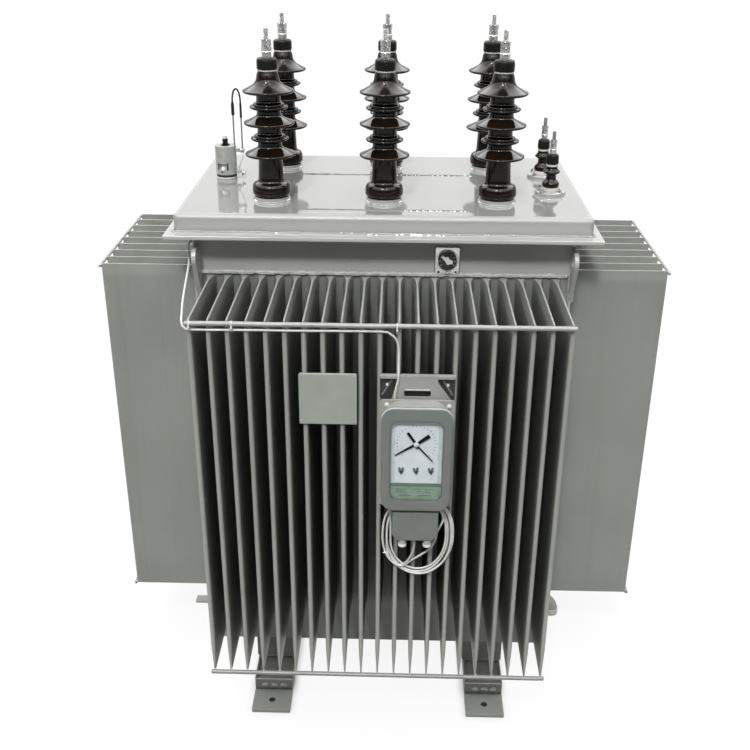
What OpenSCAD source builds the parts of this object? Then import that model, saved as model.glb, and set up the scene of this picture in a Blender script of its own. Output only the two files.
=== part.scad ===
// Oil-immersed series reactor: a sealed corrugated tank on two skids, with six
// main bushings, two small bushings, a relief valve, an oil gauge and a
// thermometer case.  Millimetres, +Z up, front towards -Y.  The origin is on the
// floor, at the centre of the base.

/* [Tank] */
// Width of the tank over its end walls
tank_w = 986; // [930:2:1100]
// Depth of the tank over its front and rear walls
tank_d = 616; // [600:2:700]
// Thickness of the corrugated walls
panel_t = 4; // [2:0.5:8]
// Height of the corrugated walls
panel_h = 1202; // [1150:2:1400]
// Height of the plain band above the corrugated walls
band_h = 94; // [80:1:140]
// Thickness of the plain band
band_t = 6; // [4:0.5:10]
// Thickness of the tank's bottom plate
bottom_t = 8; // [4:1:14]
// Thickness of the rim that the lid sits on
rim_t = 10; // [6:1:16]
// How far the rim stands out past the walls
rim_over = 20; // [10:1:30]
// Wall left plain between the fins and the band
fin_head = 8; // [4:1:20]

/* [Lid] */
// Thickness of the lid's flange
lid_flange_t = 10; // [6:1:16]
// How far the lid's flange stands out past the front and rear walls
lid_over_y = 65; // [50:1:80]
// How far the lid's flange stands out past the end walls
lid_over_x = 63; // [50:1:80]
// Flange left bare in front of and behind the lid's box
lid_step_y = 39; // [30:1:45]
// Flange left bare at the ends of the lid's box
lid_step_x = 22; // [18:1:45]
// Height of the lid's box above its flange
lid_h = 47; // [30:1:90]
// Sheet thickness of the lid's box
lid_t = 5; // [3:0.5:8]

/* [Cooling fins] */
// Number of fins on the front and on the rear
front_fins = 21; // [11:2:21]
// Plain wall between the first front or rear fin's middle and the corner
front_margin = 43; // [36:1:60]
// Depth of the front and rear fins
front_fin_d = 320; // [200:5:360]
// Number of fins on each end
side_fins = 9; // [5:2:9]
// Plain wall between the first end fin's middle and the corner
side_margin = 74; // [62:1:90]
// Depth of the end fins
side_fin_d = 266; // [180:1:300]
// Thickness of a fin
fin_t = 12; // [8:1:16]
// Thickness of a fin where its ends are pinched shut
fin_edge_t = 4; // [3:0.5:6]
// Height of the foot of the fins above the foot of the wall
fin_rise = 146; // [100:2:150]
// Length of the pinch at the top of a fin
pinch_top = 30; // [10:1:60]
// Length of the pinch at the foot of a fin
pinch_foot = 90; // [20:1:140]
// Diameter of the bars that tie the front and rear fins together
tie_d = 12; // [6:1:16]
// Diameter of the bars that tie the end fins together
tie_end_d = 8; // [6:1:16]
// Height of a tie bar's centre above the foot, or below the top, of the fins
tie_inset = 6; // [4:1:30]
// How far a tie bar runs past the last fin
tie_over = 2; // [0:1:10]

/* [Skids] */
// Distance between the centre lines of the two skids
skid_pitch = 640; // [500:10:760]
// Width of a skid channel
skid_w = 114; // [90:2:140]
// Height of a skid channel
skid_h = 41; // [30:1:80]
// Length of a skid channel
skid_l = 825; // [700:5:1000]
// Sheet thickness of the skids and bearers
skid_t = 6; // [4:0.5:8]
// Extra width of a bearer over a skid
bearer_extra = 8; // [0:1:10]
// Height of the bearer between a skid and the tank
bearer_h = 71; // [40:1:120]
// Thickness of a foot plate
foot_t = 12; // [8:1:20]
// Length of a foot plate
foot_l = 160; // [140:5:220]
// How far a foot plate reaches out past the skid's end
foot_out = 89; // [70:1:110]
// Diameter of the bolt hole in a foot plate
foot_hole_d = 18; // [10:1:26]
// Distance from the foot plate's outer end to its hole
foot_hole_inset = 43; // [25:1:55]

/* [Main bushings] */
// Radius of the boss on the lid under a main bushing
hv_boss_r = 47; // [42:1:54]
// Height of the boss on the lid under a main bushing
hv_boss_h = 14; // [6:1:24]
// Spacing of the main bushings along the lid
hv_pitch_x = 298; // [200:2:310]
// Spacing of the two rows of main bushings
hv_pitch_y = 364; // [300:2:420]
// Height of the porcelain
hv_h = 322; // [300:2:360]
// Radius of the three large sheds
hv_shed_r = 65.5; // [58:0.5:70]
// Radius of the two small sheds
hv_small_shed_r = 49; // [44:0.5:54]
// Radius of the porcelain between the sheds
hv_core_r = 31; // [28:0.5:34]
// Radius of the collar at the foot
hv_collar_r = 50; // [48:1:60]
// Height of the collar at the foot
hv_collar_h = 34; // [30:1:50]
// Radius of the black cap
hv_cap_r = 26.5; // [20:0.5:32]
// Spacing of the sheds
hv_pitch = 40; // [36:0.5:44]
// Height of the porcelain above its top shed's tip
hv_neck = 52; // [46:1:60]
// Thickness of a shed where it meets the core
shed_t = 9; // [7:0.5:11]
// Thickness of a shed at its tip
shed_lip = 5.5; // [4:0.5:7]
// Rise of a large shed from its tip to the core
shed_rise = 16; // [12:0.5:18]
// Height of the black cap
hv_cap_h = 26; // [16:1:36]
// Radius of the terminal nuts
hv_nut_r = 14; // [10:0.5:18]
// Height of the stack of terminal nuts
hv_nut_h = 44; // [30:1:60]
// Radius of the terminal stud
hv_stud_r = 7; // [4:0.5:9]
// Length of the stud above its nuts
hv_stud_h = 27; // [15:1:50]

/* [Small bushings] */
// Distance of the small bushings from the lid box's end
lv_inset = 84; // [60:1:110]
// Spacing of the two small bushings
lv_pitch_y = 184; // [120:2:300]
// Radius of the mounting flange
lv_flange_r = 42; // [36:1:46]
// Thickness of the mounting flange
lv_flange_h = 11; // [5:1:14]
// Thickness of the gasket between the flange and the porcelain
lv_gasket_h = 8; // [4:1:12]
// Height of the porcelain
lv_h = 56; // [50:1:70]
// Radius of the shed and of the foot
lv_shed_r = 23; // [20:0.5:28]
// Radius of the gasket
lv_gasket_r = 25; // [24:0.5:30]
// Radius of the neck between the foot and the shed
lv_neck_r = 13.5; // [10:0.5:16]
// Height of the porcelain's foot
lv_foot_h = 22; // [18:0.5:26]
// Height of the shed above the porcelain's base
lv_shed_z = 38; // [34:0.5:42]
// Thickness of the shed
lv_shed_t = 13; // [9:0.5:15]
// Radius of the black cap
lv_cap_r = 17; // [13:0.5:20]
// Height of the black cap
lv_cap_h = 33; // [20:1:40]
// Radius of the terminal nuts
lv_nut_r = 9.5; // [7:0.5:12]
// Height of the stack of terminal nuts
lv_nut_h = 38; // [20:1:50]
// Radius of the terminal stud
lv_stud_r = 4.5; // [2.5:0.5:6]
// Length of the stud above its nuts
lv_stud_h = 22; // [12:1:40]

/* [Relief valve] */
// Distance of the relief valve from the lid box's end
valve_inset = 83; // [60:1:110]
// Place of the relief valve across the lid
valve_y = 30; // [-60:1:60]
// Radius of the valve's body
valve_r = 29.5; // [24:0.5:34]
// Height of the valve's body
valve_h = 82; // [60:1:110]
// Height of the boss on the lid under the valve
valve_boss_h = 8; // [4:1:14]
// Height of the dark seal under the body
valve_seal_h = 5; // [4:1:12]
// Height of the button on top
valve_button_h = 28; // [10:1:34]
// Radius of the button on top
valve_button_r = 8; // [5:0.5:11]
// Height of the valve's top above the arm at its side
arm_drop = 14; // [10:1:24]
// Thickness of the arm
arm_d = 10; // [8:1:14]
// Width of the pull loop between its wires
loop_w = 22; // [20:1:30]
// Height of the pull loop's arch above the straight wires
loop_arch_h = 33; // [20:1:40]
// Height of the pull loop above the arm that holds it
loop_h = 162; // [120:1:200]
// How far the loop's first wire stands in from the valve's side
loop_inset = 3.5; // [3:0.5:6]
// Diameter of the loop's wire in its black sleeve
loop_d = 6; // [4:0.5:8]

/* [Fittings] */
// Width of the oil gauge's plate
gauge_w = 66; // [50:1:80]
// Height of the oil gauge's plate
gauge_h = 74; // [60:1:74]
// Thickness of the oil gauge's plate
gauge_t = 5; // [3:0.5:8]
// Distance of the oil gauge from the tank's middle
gauge_x = 167; // [100:1:300]
// Radius of the gauge's dial
gauge_r = 26; // [18:0.5:30]
// Depth of the gauge's dial housing
gauge_d = 16; // [8:1:20]
// Height of the gauge's middle below the rim
gauge_drop = 56; // [45:1:57]
// Distance of the blank plate to the left of the tank's middle
plate_left = 124; // [100:1:200]
// Width of the blank plate
plate_w = 140; // [120:1:180]
// Height of the blank plate
plate_h = 134; // [80:1:180]
// Height of the blank plate's centre below the top of the fins
plate_drop = 198; // [160:1:500]
// Sheet thickness of the blank plate
plate_t = 2; // [1:0.5:4]
// Depth of the blank plate's folded edges
plate_fold = 8; // [5:1:16]
// Thickness of a lifting lug
lug_t = 12; // [8:1:20]
// How far a lug stands out past the front or rear wall
lug_out = 57; // [50:1:64]
// Height of a lug along the wall
lug_h = 148; // [110:1:180]
// Radius of a lug's nose
lug_r = 28; // [24:1:28]
// Radius of a lug's hole
lug_hole_r = 14; // [8:1:16]
// How far a lug's top lies below the rim
lug_drop = 18; // [12:1:30]
// Height of the drain elbow's outlet above the tank's bottom
drain_h = 89; // [70:1:120]
// Radius of the drain pipe
drain_r = 20; // [14:1:24]
// Radius of the drain elbow's bend
drain_bend = 34; // [30:1:40]
// Length of the collar at the drain elbow's outlet
drain_collar = 17; // [8:1:30]
// Distance of the drain and of the earth plate from the front wall
drain_inset = 32; // [26:1:40]
// Width of the earth plate
earth_w = 72; // [40:1:100]
// Depth of the earth plate
earth_d = 30; // [20:1:40]
// Thickness of the earth plate
earth_t = 6; // [4:0.5:10]
// Height of the earth plate above the tank's bottom
earth_h = 110; // [70:1:200]

/* [Thermometer] */
// Height of the bracket's top below the top of the fins
bracket_drop = 129; // [100:1:160]
// Thickness of the bracket's sheet
bracket_t = 3; // [2:0.5:5]
// Depth of the lip at the bracket's top
lip_d = 15; // [12:1:18]
// Width of the bracket's apron at the lip
apron_w = 90; // [70:1:120]
// How far the apron's foot reaches left of the thermometer's middle
apron_left = 61; // [45:1:75]
// How far the apron's foot reaches right of the thermometer's middle
apron_right = 79; // [45:1:80]
// Width of the slot in the bracket
slot_w = 64; // [40:1:80]
// Height of the slot in the bracket
slot_h = 14; // [10:1:18]
// Height of the slot's middle below the bracket's top
slot_drop = 42; // [36:1:48]
// Distance of the thermometer from the tank's middle
thermo_x = 91; // [60:1:250]
// Width of the bracket
bracket_w = 180; // [174:1:220]
// Height of the bracket
bracket_h = 332; // [320:1:380]
// Depth of the bracket's rails
rail_d = 22; // [19:1:40]
// Width of the case
case_w = 168; // [150:1:170]
// Height of the case
case_h = 282; // [260:1:300]
// Depth of the case in front of its flange
case_d = 47; // [35:1:60]
// Height of the case's top below the bracket's top
case_drop = 56; // [50:1:70]
// Corner radius of the case
case_r = 30; // [10:1:40]
// Width of the window
window_w = 126; // [100:1:135]
// Height of the window
window_h = 218; // [180:1:225]
// Height of the window's foot above the case's foot
window_rise = 28; // [20:1:40]
// Corner radius of the window
window_r = 12; // [6:1:20]
// Depth of the recess behind the window
recess_d = 14; // [10:1:20]
// Thickness of the window
window_t = 3; // [2:0.5:5]
// Spacing of the two cable glands
gland_pitch = 62; // [46:1:76]
// Width of the terminal box
box_w = 114; // [90:1:130]
// Height of the terminal box
box_h = 88; // [60:1:110]
// Depth of the terminal box
box_d = 36; // [25:1:45]
// Diameter of a cable gland
gland_d = 22; // [14:1:28]
// Length of a cable gland
gland_l = 14; // [8:1:24]
// Width of the coil of spare capillary tube
coil_w = 186; // [160:2:200]
// Height of the coil of spare capillary tube
coil_h = 230; // [200:2:232]
// Width of the bundle of tube in the coil
coil_band = 32; // [20:1:40]
// Thickness of the coil from front to back
coil_t = 20; // [14:1:20]
// How far the coil lies to the right of the thermometer's middle
coil_shift = 10; // [0:1:20]
// Diameter of the capillary tube
tube_d = 5.5; // [4:0.5:7]
// Distance of the tube's socket from the front wall
socket_inset = 63; // [50:1:70]
// Height of the tube's socket below the rim
socket_drop = 32; // [24:1:50]
// Length of the tube's socket
socket_l = 14; // [8:1:20]

/* [Hidden] */
$fn = 48;

body_grey = [0.58, 0.60, 0.57];
lid_grey = [0.80, 0.80, 0.78];
dark_glaze = [0.16, 0.09, 0.07];
steel = [0.62, 0.62, 0.60];
black = [0.06, 0.06, 0.06];

// Levels of the stack, from the floor up
skid_z = foot_t;
bearer_z = skid_z + skid_h;
tank_z = bearer_z + bearer_h;
band_z = tank_z + panel_h;
rim_z = band_z + band_h;
lid_flange_z = rim_z + rim_t;
lid_z = lid_flange_z + lid_flange_t;
lid_top = lid_z + lid_h;
fin_z = tank_z + fin_rise;
fin_top = band_z - fin_head;

// Faces of the tank and of its fins
wall_x = tank_w / 2;
wall_y = tank_d / 2;
fin_face_y = wall_y + front_fin_d;
fin_face_x = wall_x + side_fin_d;
lid_half_x = wall_x + lid_over_x - lid_step_x;
lid_half_y = wall_y + lid_over_y - lid_step_y;
front_pitch = (tank_w - 2 * front_margin) / (front_fins - 1);
side_pitch = (tank_d - 2 * side_margin) / (side_fins - 1);
skid_x = skid_pitch / 2;
foot_end_y = skid_l / 2 + foot_out;
seat_gap = 0.3;

// Thermometer, from the fins outwards
bracket_top = fin_top - bracket_drop;
rail_face = fin_face_y + bracket_t + rail_d;
case_flange_t = 4;
case_back = rail_face + case_flange_t;
case_face = case_back + case_d;
case_top = bracket_top - case_drop;
case_bottom = case_top - case_h;
case_flange_drop = 12;
apron_gap = 8;
apron_foot = case_top - apron_gap;
window_z = case_bottom + window_rise + window_h / 2;
groove_h = 3;
box_gap = 4;
box_back = case_back + box_gap;
coil_lap = 8;
coil_y = fin_face_y + seat_gap + coil_t / 2;
coil_top = case_bottom - case_flange_drop + coil_lap;
coil_z = coil_top - coil_h / 2;

// Capillary tube: from the coil up behind the case, over the bracket's lip, along
// the fins under the top tie bar and up behind the front left lug
tube_route = [[27.7, -641, 815.5], [31, -643, 870], [35, -644, 960], [38, -645, 1080],
    [37, -647, 1140], [44, -648, 1180], [45, -647, 1195], [45, -638, 1215],
    [45, -631, 1243], [43, -631, 1264], [36, -631, 1281], [23, -631, 1292],
    [6, -631, 1297], [-90, -631, 1297], [-190, -631, 1296], [-290, -631, 1296],
    [-390, -631, 1295], [-438, -631, 1295], [-455, -632, 1297], [-463, -631, 1304],
    [-466, -625, 1315], [-469, -600, 1323], [-476, -555, 1329], [-485, -480, 1337],
    [-494, -400, 1344], [-500, -352, 1347], [-504, -318, 1351], [-509, -290, 1365],
    [-512.5, -266, 1383], [-512, -251, 1388], [-507.3, -245, 1388]];
tail_route = [[90, -672, 760], [90, -671, 745], [89, -667, 727], [86, -659, 706],
    [80, -650, 686], [71, -643, 668], [65, -641, 661.7]];
tube_sides = 8;

// ---- helpers ----

// Box centred on x and y, standing on z
module block(w, d, h) { translate([-w / 2, -d / 2, 0]) cube([w, d, h]); }

// Rectangle with quarter-round corners, from exact circles and squares
module rounded(w, h, r) {
    square([w - 2 * r, h], center = true);
    square([w, h - 2 * r], center = true);
    for (sx = [-1, 1], sy = [-1, 1])
        translate([sx * (w / 2 - r), sy * (h / 2 - r)]) circle(r);
}

// Extrudes an outline drawn in X and Z towards the front, from depth y0 to y1
module to_front(y0, y1) {
    translate([0, -y0, 0]) rotate([90, 0, 0]) linear_extrude(y1 - y0) children();
}

// Bar along X
module bar_x(l, d) { rotate([0, 90, 0]) cylinder(h = l, d = d, center = true); }

function unit(v) = v / norm(v);
function tangent(p, i) =
    unit(p[min(i + 1, len(p) - 1)] - p[max(i - 1, 0)]);
function side_of(t, n) = unit(n - (n * t) * t);
function frame_at(p, i) =
    i == 0 ? side_of(tangent(p, 0), abs(tangent(p, 0) * [0, 0, 1]) > 0.9
        ? [0, 1, 0] : [0, 0, 1])
    : side_of(tangent(p, i), frame_at(p, i - 1));

// Catmull-Rom point between p[i] and p[i+1]
function spline(p, i, t) =
    let (a = p[max(i - 1, 0)], b = p[i], c = p[i + 1], d = p[min(i + 2, len(p) - 1)])
    0.5 * (2 * b + (c - a) * t + (2 * a - 5 * b + 4 * c - d) * t * t
        + (3 * b - a - 3 * c + d) * t * t * t);
function smooth(p, steps) =
    [for (i = [0:len(p) - 2], k = [0:steps - 1]) spline(p, i, k / steps),
     p[len(p) - 1]];

// Tube swept along points
module tube_along(p, d, sides) {
    n = len(p);
    rings = [for (i = [0:n - 1])
        let (t = tangent(p, i), u = frame_at(p, i), v = cross(t, u))
        for (k = [0:sides - 1])
            p[i] + d / 2 * (cos(360 * k / sides) * u + sin(360 * k / sides) * v)];
    walls = [for (i = [0:n - 2], k = [0:sides - 1])
        [i * sides + k, i * sides + (k + 1) % sides,
         (i + 1) * sides + (k + 1) % sides, (i + 1) * sides + k]];
    ends = [[for (k = [0:sides - 1]) sides - 1 - k],
            [for (k = [0:sides - 1]) (n - 1) * sides + k]];
    polyhedron(rings, concat([for (w = walls) [w[3], w[2], w[1], w[0]]],
        [for (e = ends) [for (k = [sides - 1:-1:0]) e[k]]]));
}

// ---- skids ----

module channel(w, l, h, t) {
    difference() {
        block(w, l, h);
        translate([0, 0, -t]) block(w - 2 * t, l - 2 * t, h);
    }
}

module skids() {
    color(body_grey) for (sx = [-1, 1]) translate([sx * skid_x, 0, skid_z])
        channel(skid_w, skid_l, skid_h, skid_t);
}

module foot_plates() {
    color(body_grey) for (sx = [-1, 1], sy = [-1, 1])
        difference() {
            translate([sx * skid_x, sy * (foot_end_y - foot_l / 2), 0])
                block(skid_w, foot_l, foot_t);
            translate([sx * skid_x, sy * (foot_end_y - foot_hole_inset), -1])
                cylinder(h = foot_t + 2, d = foot_hole_d);
        }
}

module bearers() {
    color(body_grey) for (sx = [-1, 1]) translate([sx * skid_x, 0, bearer_z])
        channel(skid_w + bearer_extra, tank_d, bearer_h, skid_t + bearer_extra / 2);
}

// ---- tank ----

module tank_bottom() {
    color(body_grey) translate([0, 0, tank_z])
        block(tank_w - 2 * panel_t, tank_d - 2 * panel_t, bottom_t);
}

// Section of a fin across its thickness, pinched shut at both ends
module fin_outline() {
    e = fin_edge_t / 2;
    t = fin_t / 2;
    polygon([[-e, fin_z], [e, fin_z], [t, fin_z + pinch_foot],
        [t, fin_top - pinch_top], [e, fin_top], [-e, fin_top],
        [-t, fin_top - pinch_top], [-t, fin_z + pinch_foot]]);
}

// Fins of one side, standing on a wall whose outer face is at depth y0
module fins(n, pitch, y0, y1) {
    for (i = [0:n - 1]) translate([(i - (n - 1) / 2) * pitch, 0, 0])
        to_front(y0, y1) fin_outline();
}

module long_panel() {
    translate([0, -wall_y + panel_t / 2, tank_z]) block(tank_w, panel_t, panel_h);
}
module end_panel() {
    translate([-wall_x + panel_t / 2, 0, tank_z])
        block(panel_t, tank_d - 2 * panel_t, panel_h);
}
module panel_front() { color(body_grey) long_panel(); }
module panel_rear() { color(body_grey) rotate([0, 0, 180]) long_panel(); }
module panel_left() { color(body_grey) end_panel(); }
module panel_right() { color(body_grey) rotate([0, 0, 180]) end_panel(); }

module long_fins(turn) {
    color(body_grey) rotate([0, 0, turn])
        fins(front_fins, front_pitch, wall_y, fin_face_y);
}
module end_fins(turn) {
    color(body_grey) rotate([0, 0, turn])
        fins(side_fins, side_pitch, wall_x, fin_face_x);
}

module ring(out_x, out_y, in_x, in_y, h) {
    difference() {
        block(2 * out_x, 2 * out_y, h);
        translate([0, 0, -1]) block(2 * in_x, 2 * in_y, h + 2);
    }
}

module upper_band() {
    color(body_grey) translate([0, 0, band_z])
        ring(wall_x, wall_y, wall_x - band_t, wall_y - band_t, band_h);
}

module rim_flange() {
    color(body_grey) translate([0, 0, rim_z])
        ring(wall_x + rim_over, wall_y + rim_over, wall_x - band_t, wall_y - band_t,
            rim_t);
}

module lid_flange() {
    color(lid_grey) translate([0, 0, lid_flange_z])
        ring(wall_x + lid_over_x, wall_y + lid_over_y, wall_x - band_t,
            wall_y - band_t, lid_flange_t);
}

module lid_box() {
    color(lid_grey) translate([0, 0, lid_z]) difference() {
        block(2 * lid_half_x, 2 * lid_half_y, lid_h);
        translate([0, 0, -lid_t])
            block(2 * (lid_half_x - lid_t), 2 * (lid_half_y - lid_t), lid_h);
    }
}

// Bosses that the main bushings and the relief valve stand on
module lid_bosses() {
    color(lid_grey) {
        for (col = [-1:1], row = [-1, 1]) hv_place(col, row)
            cylinder(h = hv_boss_h, r = hv_boss_r);
        translate([valve_x, valve_y, lid_top]) cylinder(h = valve_boss_h, r = valve_r);
    }
}

// A lug stands on the front or rear wall at its corner, flat from side to side
lug_slope = 25;
lug_top = rim_z - lug_drop;
lug_nose = wall_y + lug_out - lug_r;
module lug_outline() {
    difference() {
        union() {
            translate([lug_nose, lug_top - lug_r]) circle(lug_r);
            polygon([[wall_y, lug_top], [lug_nose, lug_top],
                [lug_nose + lug_r * cos(lug_slope),
                    lug_top - lug_r - lug_r * sin(lug_slope)],
                [wall_y, lug_top - lug_h]]);
        }
        translate([lug_nose, lug_top - lug_r]) circle(lug_hole_r);
    }
}

module lifting_lugs() {
    color(body_grey) for (sx = [0, 1], sy = [0, 1])
        mirror([sx, 0, 0]) mirror([0, 1 - sy, 0])
            translate([wall_x - lug_t, 0, 0]) rotate([90, 0, 90])
                linear_extrude(lug_t) lug_outline();
}

module tie_bar_pair(face, half_run, d) {
    for (z = [fin_z + tie_inset, fin_top - tie_inset])
        translate([0, -face - d / 2, z])
            bar_x(2 * (half_run + fin_t / 2 + tie_over), d);
}
long_run = (front_fins - 1) / 2 * front_pitch;
end_run = (side_fins - 1) / 2 * side_pitch;
module tie_bars() {
    color(body_grey) {
        for (turn = [0, 180]) rotate([0, 0, turn])
            tie_bar_pair(fin_face_y, long_run, tie_d);
        for (turn = [-90, 90]) rotate([0, 0, turn])
            tie_bar_pair(fin_face_x, end_run, tie_end_d);
    }
}

// ---- main bushings ----

// Outline of one shed: its tip at height z, sloping up to the core
lip_round = 1.5;
function shed(z, r, rise) =
    [[hv_core_r, z - shed_t], [r - shed_lip, z - shed_lip + lip_round / 2],
     [r - lip_round, z - shed_lip], [r, z - shed_lip / 2], [r - lip_round / 2, z],
     [hv_core_r + shed_lip, z + rise - lip_round], [hv_core_r, z + rise]];

hv_tip = hv_h - hv_neck;
shank_r = hv_core_r + 2;
small_rise = shed_rise * 0.6;
module hv_porcelain() {
    r = hv_collar_r;
    h = hv_collar_h;
    rotate_extrude() polygon(concat(
        [[0, 0], [r - 2 * lip_round, 0], [r, h / 6], [r, h / 2], [r - lip_round, h * 0.8],
         [r - 4 * lip_round, h - lip_round], [r - 8 * lip_round, h],
         [shank_r, h + 2 * lip_round], [shank_r, hv_tip - 4 * hv_pitch - shed_t]],
        shed(hv_tip - 4 * hv_pitch, hv_shed_r, shed_rise),
        shed(hv_tip - 3 * hv_pitch, hv_small_shed_r, small_rise),
        shed(hv_tip - 2 * hv_pitch, hv_shed_r, shed_rise),
        shed(hv_tip - hv_pitch, hv_small_shed_r, small_rise),
        [[hv_core_r, hv_tip - shed_t],
         [hv_shed_r - shed_lip, hv_tip - shed_lip + lip_round / 2],
         [hv_shed_r - lip_round, hv_tip - shed_lip], [hv_shed_r, hv_tip - shed_lip / 2],
         [hv_shed_r - lip_round / 2, hv_tip],
         [(hv_shed_r + hv_core_r) / 2 - shed_lip, hv_tip + hv_neck * 0.28],
         [hv_core_r + lip_round, hv_tip + hv_neck * 0.52],
         [hv_cap_r - lip_round, hv_h - shed_lip], [hv_cap_r - lip_round, hv_h],
         [0, hv_h]]));
}

// Stack of cap, nuts and stud on top of a bushing
nut_share = 0.27;
module terminal(cap_r, cap_h, nut_r, nut_h, stud_r, stud_h) {
    one = nut_h * nut_share;
    color(black) rotate_extrude() polygon([[0, 0], [cap_r - lip_round, 0],
        [cap_r, lip_round], [cap_r, cap_h - 3 * lip_round],
        [cap_r - 3 * lip_round, cap_h], [0, cap_h]]);
    color(steel) translate([0, 0, cap_h]) {
        cylinder(h = one, r = nut_r, $fn = 6);
        translate([0, 0, one]) cylinder(h = nut_h - 2 * one, r = nut_r * 0.92);
        translate([0, 0, nut_h - one]) cylinder(h = one, r = nut_r * 0.96, $fn = 6);
        cylinder(h = nut_h + stud_h, r = stud_r);
    }
}

module hv_place(col, row) {
    translate([col * hv_pitch_x, row * hv_pitch_y / 2, lid_top]) children();
}
module bushing(col, row) {
    color(dark_glaze) hv_place(col, row) translate([0, 0, hv_boss_h]) hv_porcelain();
}
module terminal_row(row) {
    for (col = [-1:1]) hv_place(col, row) translate([0, 0, hv_boss_h + hv_h])
        terminal(hv_cap_r, hv_cap_h, hv_nut_r, hv_nut_h, hv_stud_r, hv_stud_h);
}

// ---- small bushings ----

lv_x = lid_half_x - lv_inset;
lv_base = lv_flange_h + lv_gasket_h;
module lv_place() {
    for (sy = [-1, 1]) translate([lv_x, sy * lv_pitch_y / 2, lid_top]) children();
}

module small_bushings() {
    r = lv_shed_r;
    top = lv_base + lv_h;
    shed_z = lv_base + lv_shed_z;
    lv_place() {
        color(steel) {
            cylinder(h = lv_flange_h, r = lv_flange_r);
            cylinder(h = lv_base, r = lv_gasket_r);
        }
        color(dark_glaze) rotate_extrude() polygon([
            [0, lv_base], [r - lip_round, lv_base], [r, lv_base + 2 * lip_round],
            [r, lv_base + lv_foot_h / 2], [r - 3 * lip_round, lv_base + lv_foot_h * 0.8],
            [lv_neck_r, lv_base + lv_foot_h], [lv_neck_r, shed_z - 2 * lip_round],
            [r - 2 * lip_round, shed_z], [r, shed_z + 2 * lip_round],
            [r, shed_z + lv_shed_t / 2], [r - 2 * lip_round, shed_z + lv_shed_t],
            [lv_cap_r - lip_round, shed_z + lv_shed_t], [lv_cap_r - lip_round, top],
            [0, top]]);
    }
}

module small_terminals() {
    lv_place() translate([0, 0, lv_base + lv_h])
        terminal(lv_cap_r, lv_cap_h, lv_nut_r, lv_nut_h, lv_stud_r, lv_stud_h);
}

// ---- relief valve and its pull loop ----

valve_x = valve_inset - lid_half_x;
body_z = lid_top + valve_boss_h + valve_seal_h;
valve_top = body_z + valve_h;
arm_z = valve_top - arm_drop;
arm_lap = 4;
loop_left = valve_x + valve_r - loop_inset;
arm_start = valve_x + valve_r - arm_lap;
arm_l = loop_left + loop_w + arm_d / 2 - arm_start;
valve_slot = [8, 12, 18];
slot_reach = 0.47;

module relief_valve() {
    translate([valve_x, valve_y, lid_top + valve_boss_h]) {
        color(black) cylinder(h = valve_seal_h, r = valve_r - lip_round);
        color(body_grey) difference() {
            translate([0, 0, valve_seal_h]) cylinder(h = valve_h, r = valve_r);
            for (sx = [-1, 1]) translate([sx * valve_r * slot_reach, -valve_r,
                valve_seal_h + valve_h * 0.39]) cube(valve_slot, center = true);
        }
        color(black) translate([0, 0, valve_seal_h + valve_h])
            cylinder(h = valve_button_h, r = valve_button_r);
    }
    // Arm at the side, which carries the pull loop
    color(body_grey) translate([arm_start + arm_l / 2, valve_y, arm_z - arm_d / 2])
        block(arm_l, arm_d, arm_d);
}

// Half ellipse over two straight legs, one on the valve and one on its arm
loop_steps = 14;
module pull_loop() {
    foot = arm_z + arm_d / 2;
    spring = foot + loop_h - loop_arch_h;
    arch = [for (k = [0:loop_steps]) [-loop_w / 2 * cos(180 * k / loop_steps), 0,
        spring + loop_arch_h * sin(180 * k / loop_steps)]];
    legs = concat([[-loop_w / 2, 0, valve_top]], arch, [[loop_w / 2, 0, foot]]);
    color(black) translate([loop_left + loop_w / 2, valve_y, 0])
        tube_along(legs, loop_d, tube_sides);
}

// ---- fittings on the tank ----

module oil_gauge() {
    translate([gauge_x, 0, rim_z - gauge_drop]) {
        color(steel) to_front(wall_y, wall_y + gauge_t)
            square([gauge_w, gauge_h], center = true);
        color(black) to_front(wall_y + gauge_t, wall_y + gauge_t + gauge_d)
            circle(gauge_r);
    }
}

// Shallow tray with its edges folded back to the fins
module blank_plate() {
    face = fin_face_y + plate_fold;
    color(steel) translate([-plate_left, 0, fin_top - plate_drop]) {
        to_front(face - plate_t, face) square([plate_w, plate_h], center = true);
        for (s = [-1, 1]) translate([0, 0, s * (plate_h - plate_t) / 2])
            to_front(fin_face_y, face) square([plate_w, plate_t], center = true);
    }
}

// Pipe that leaves the end wall, turns down and ends in a collar
collar_over = 1;
drain_y = drain_inset - wall_y;
drain_z = tank_z + drain_h + drain_collar;
module drain_elbow() {
    color(body_grey) translate([wall_x, drain_y, drain_z]) {
        rotate([90, 0, 0]) rotate_extrude(angle = 90)
            translate([drain_bend, 0]) circle(drain_r);
        translate([drain_bend, 0, -drain_collar])
            cylinder(h = drain_collar, r = drain_r + collar_over);
    }
}

module earth_plate() {
    color(body_grey) translate([-wall_x - earth_w / 2, drain_y, tank_z + earth_h])
        block(earth_w, earth_d, earth_t);
}

// ---- thermometer ----

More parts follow.
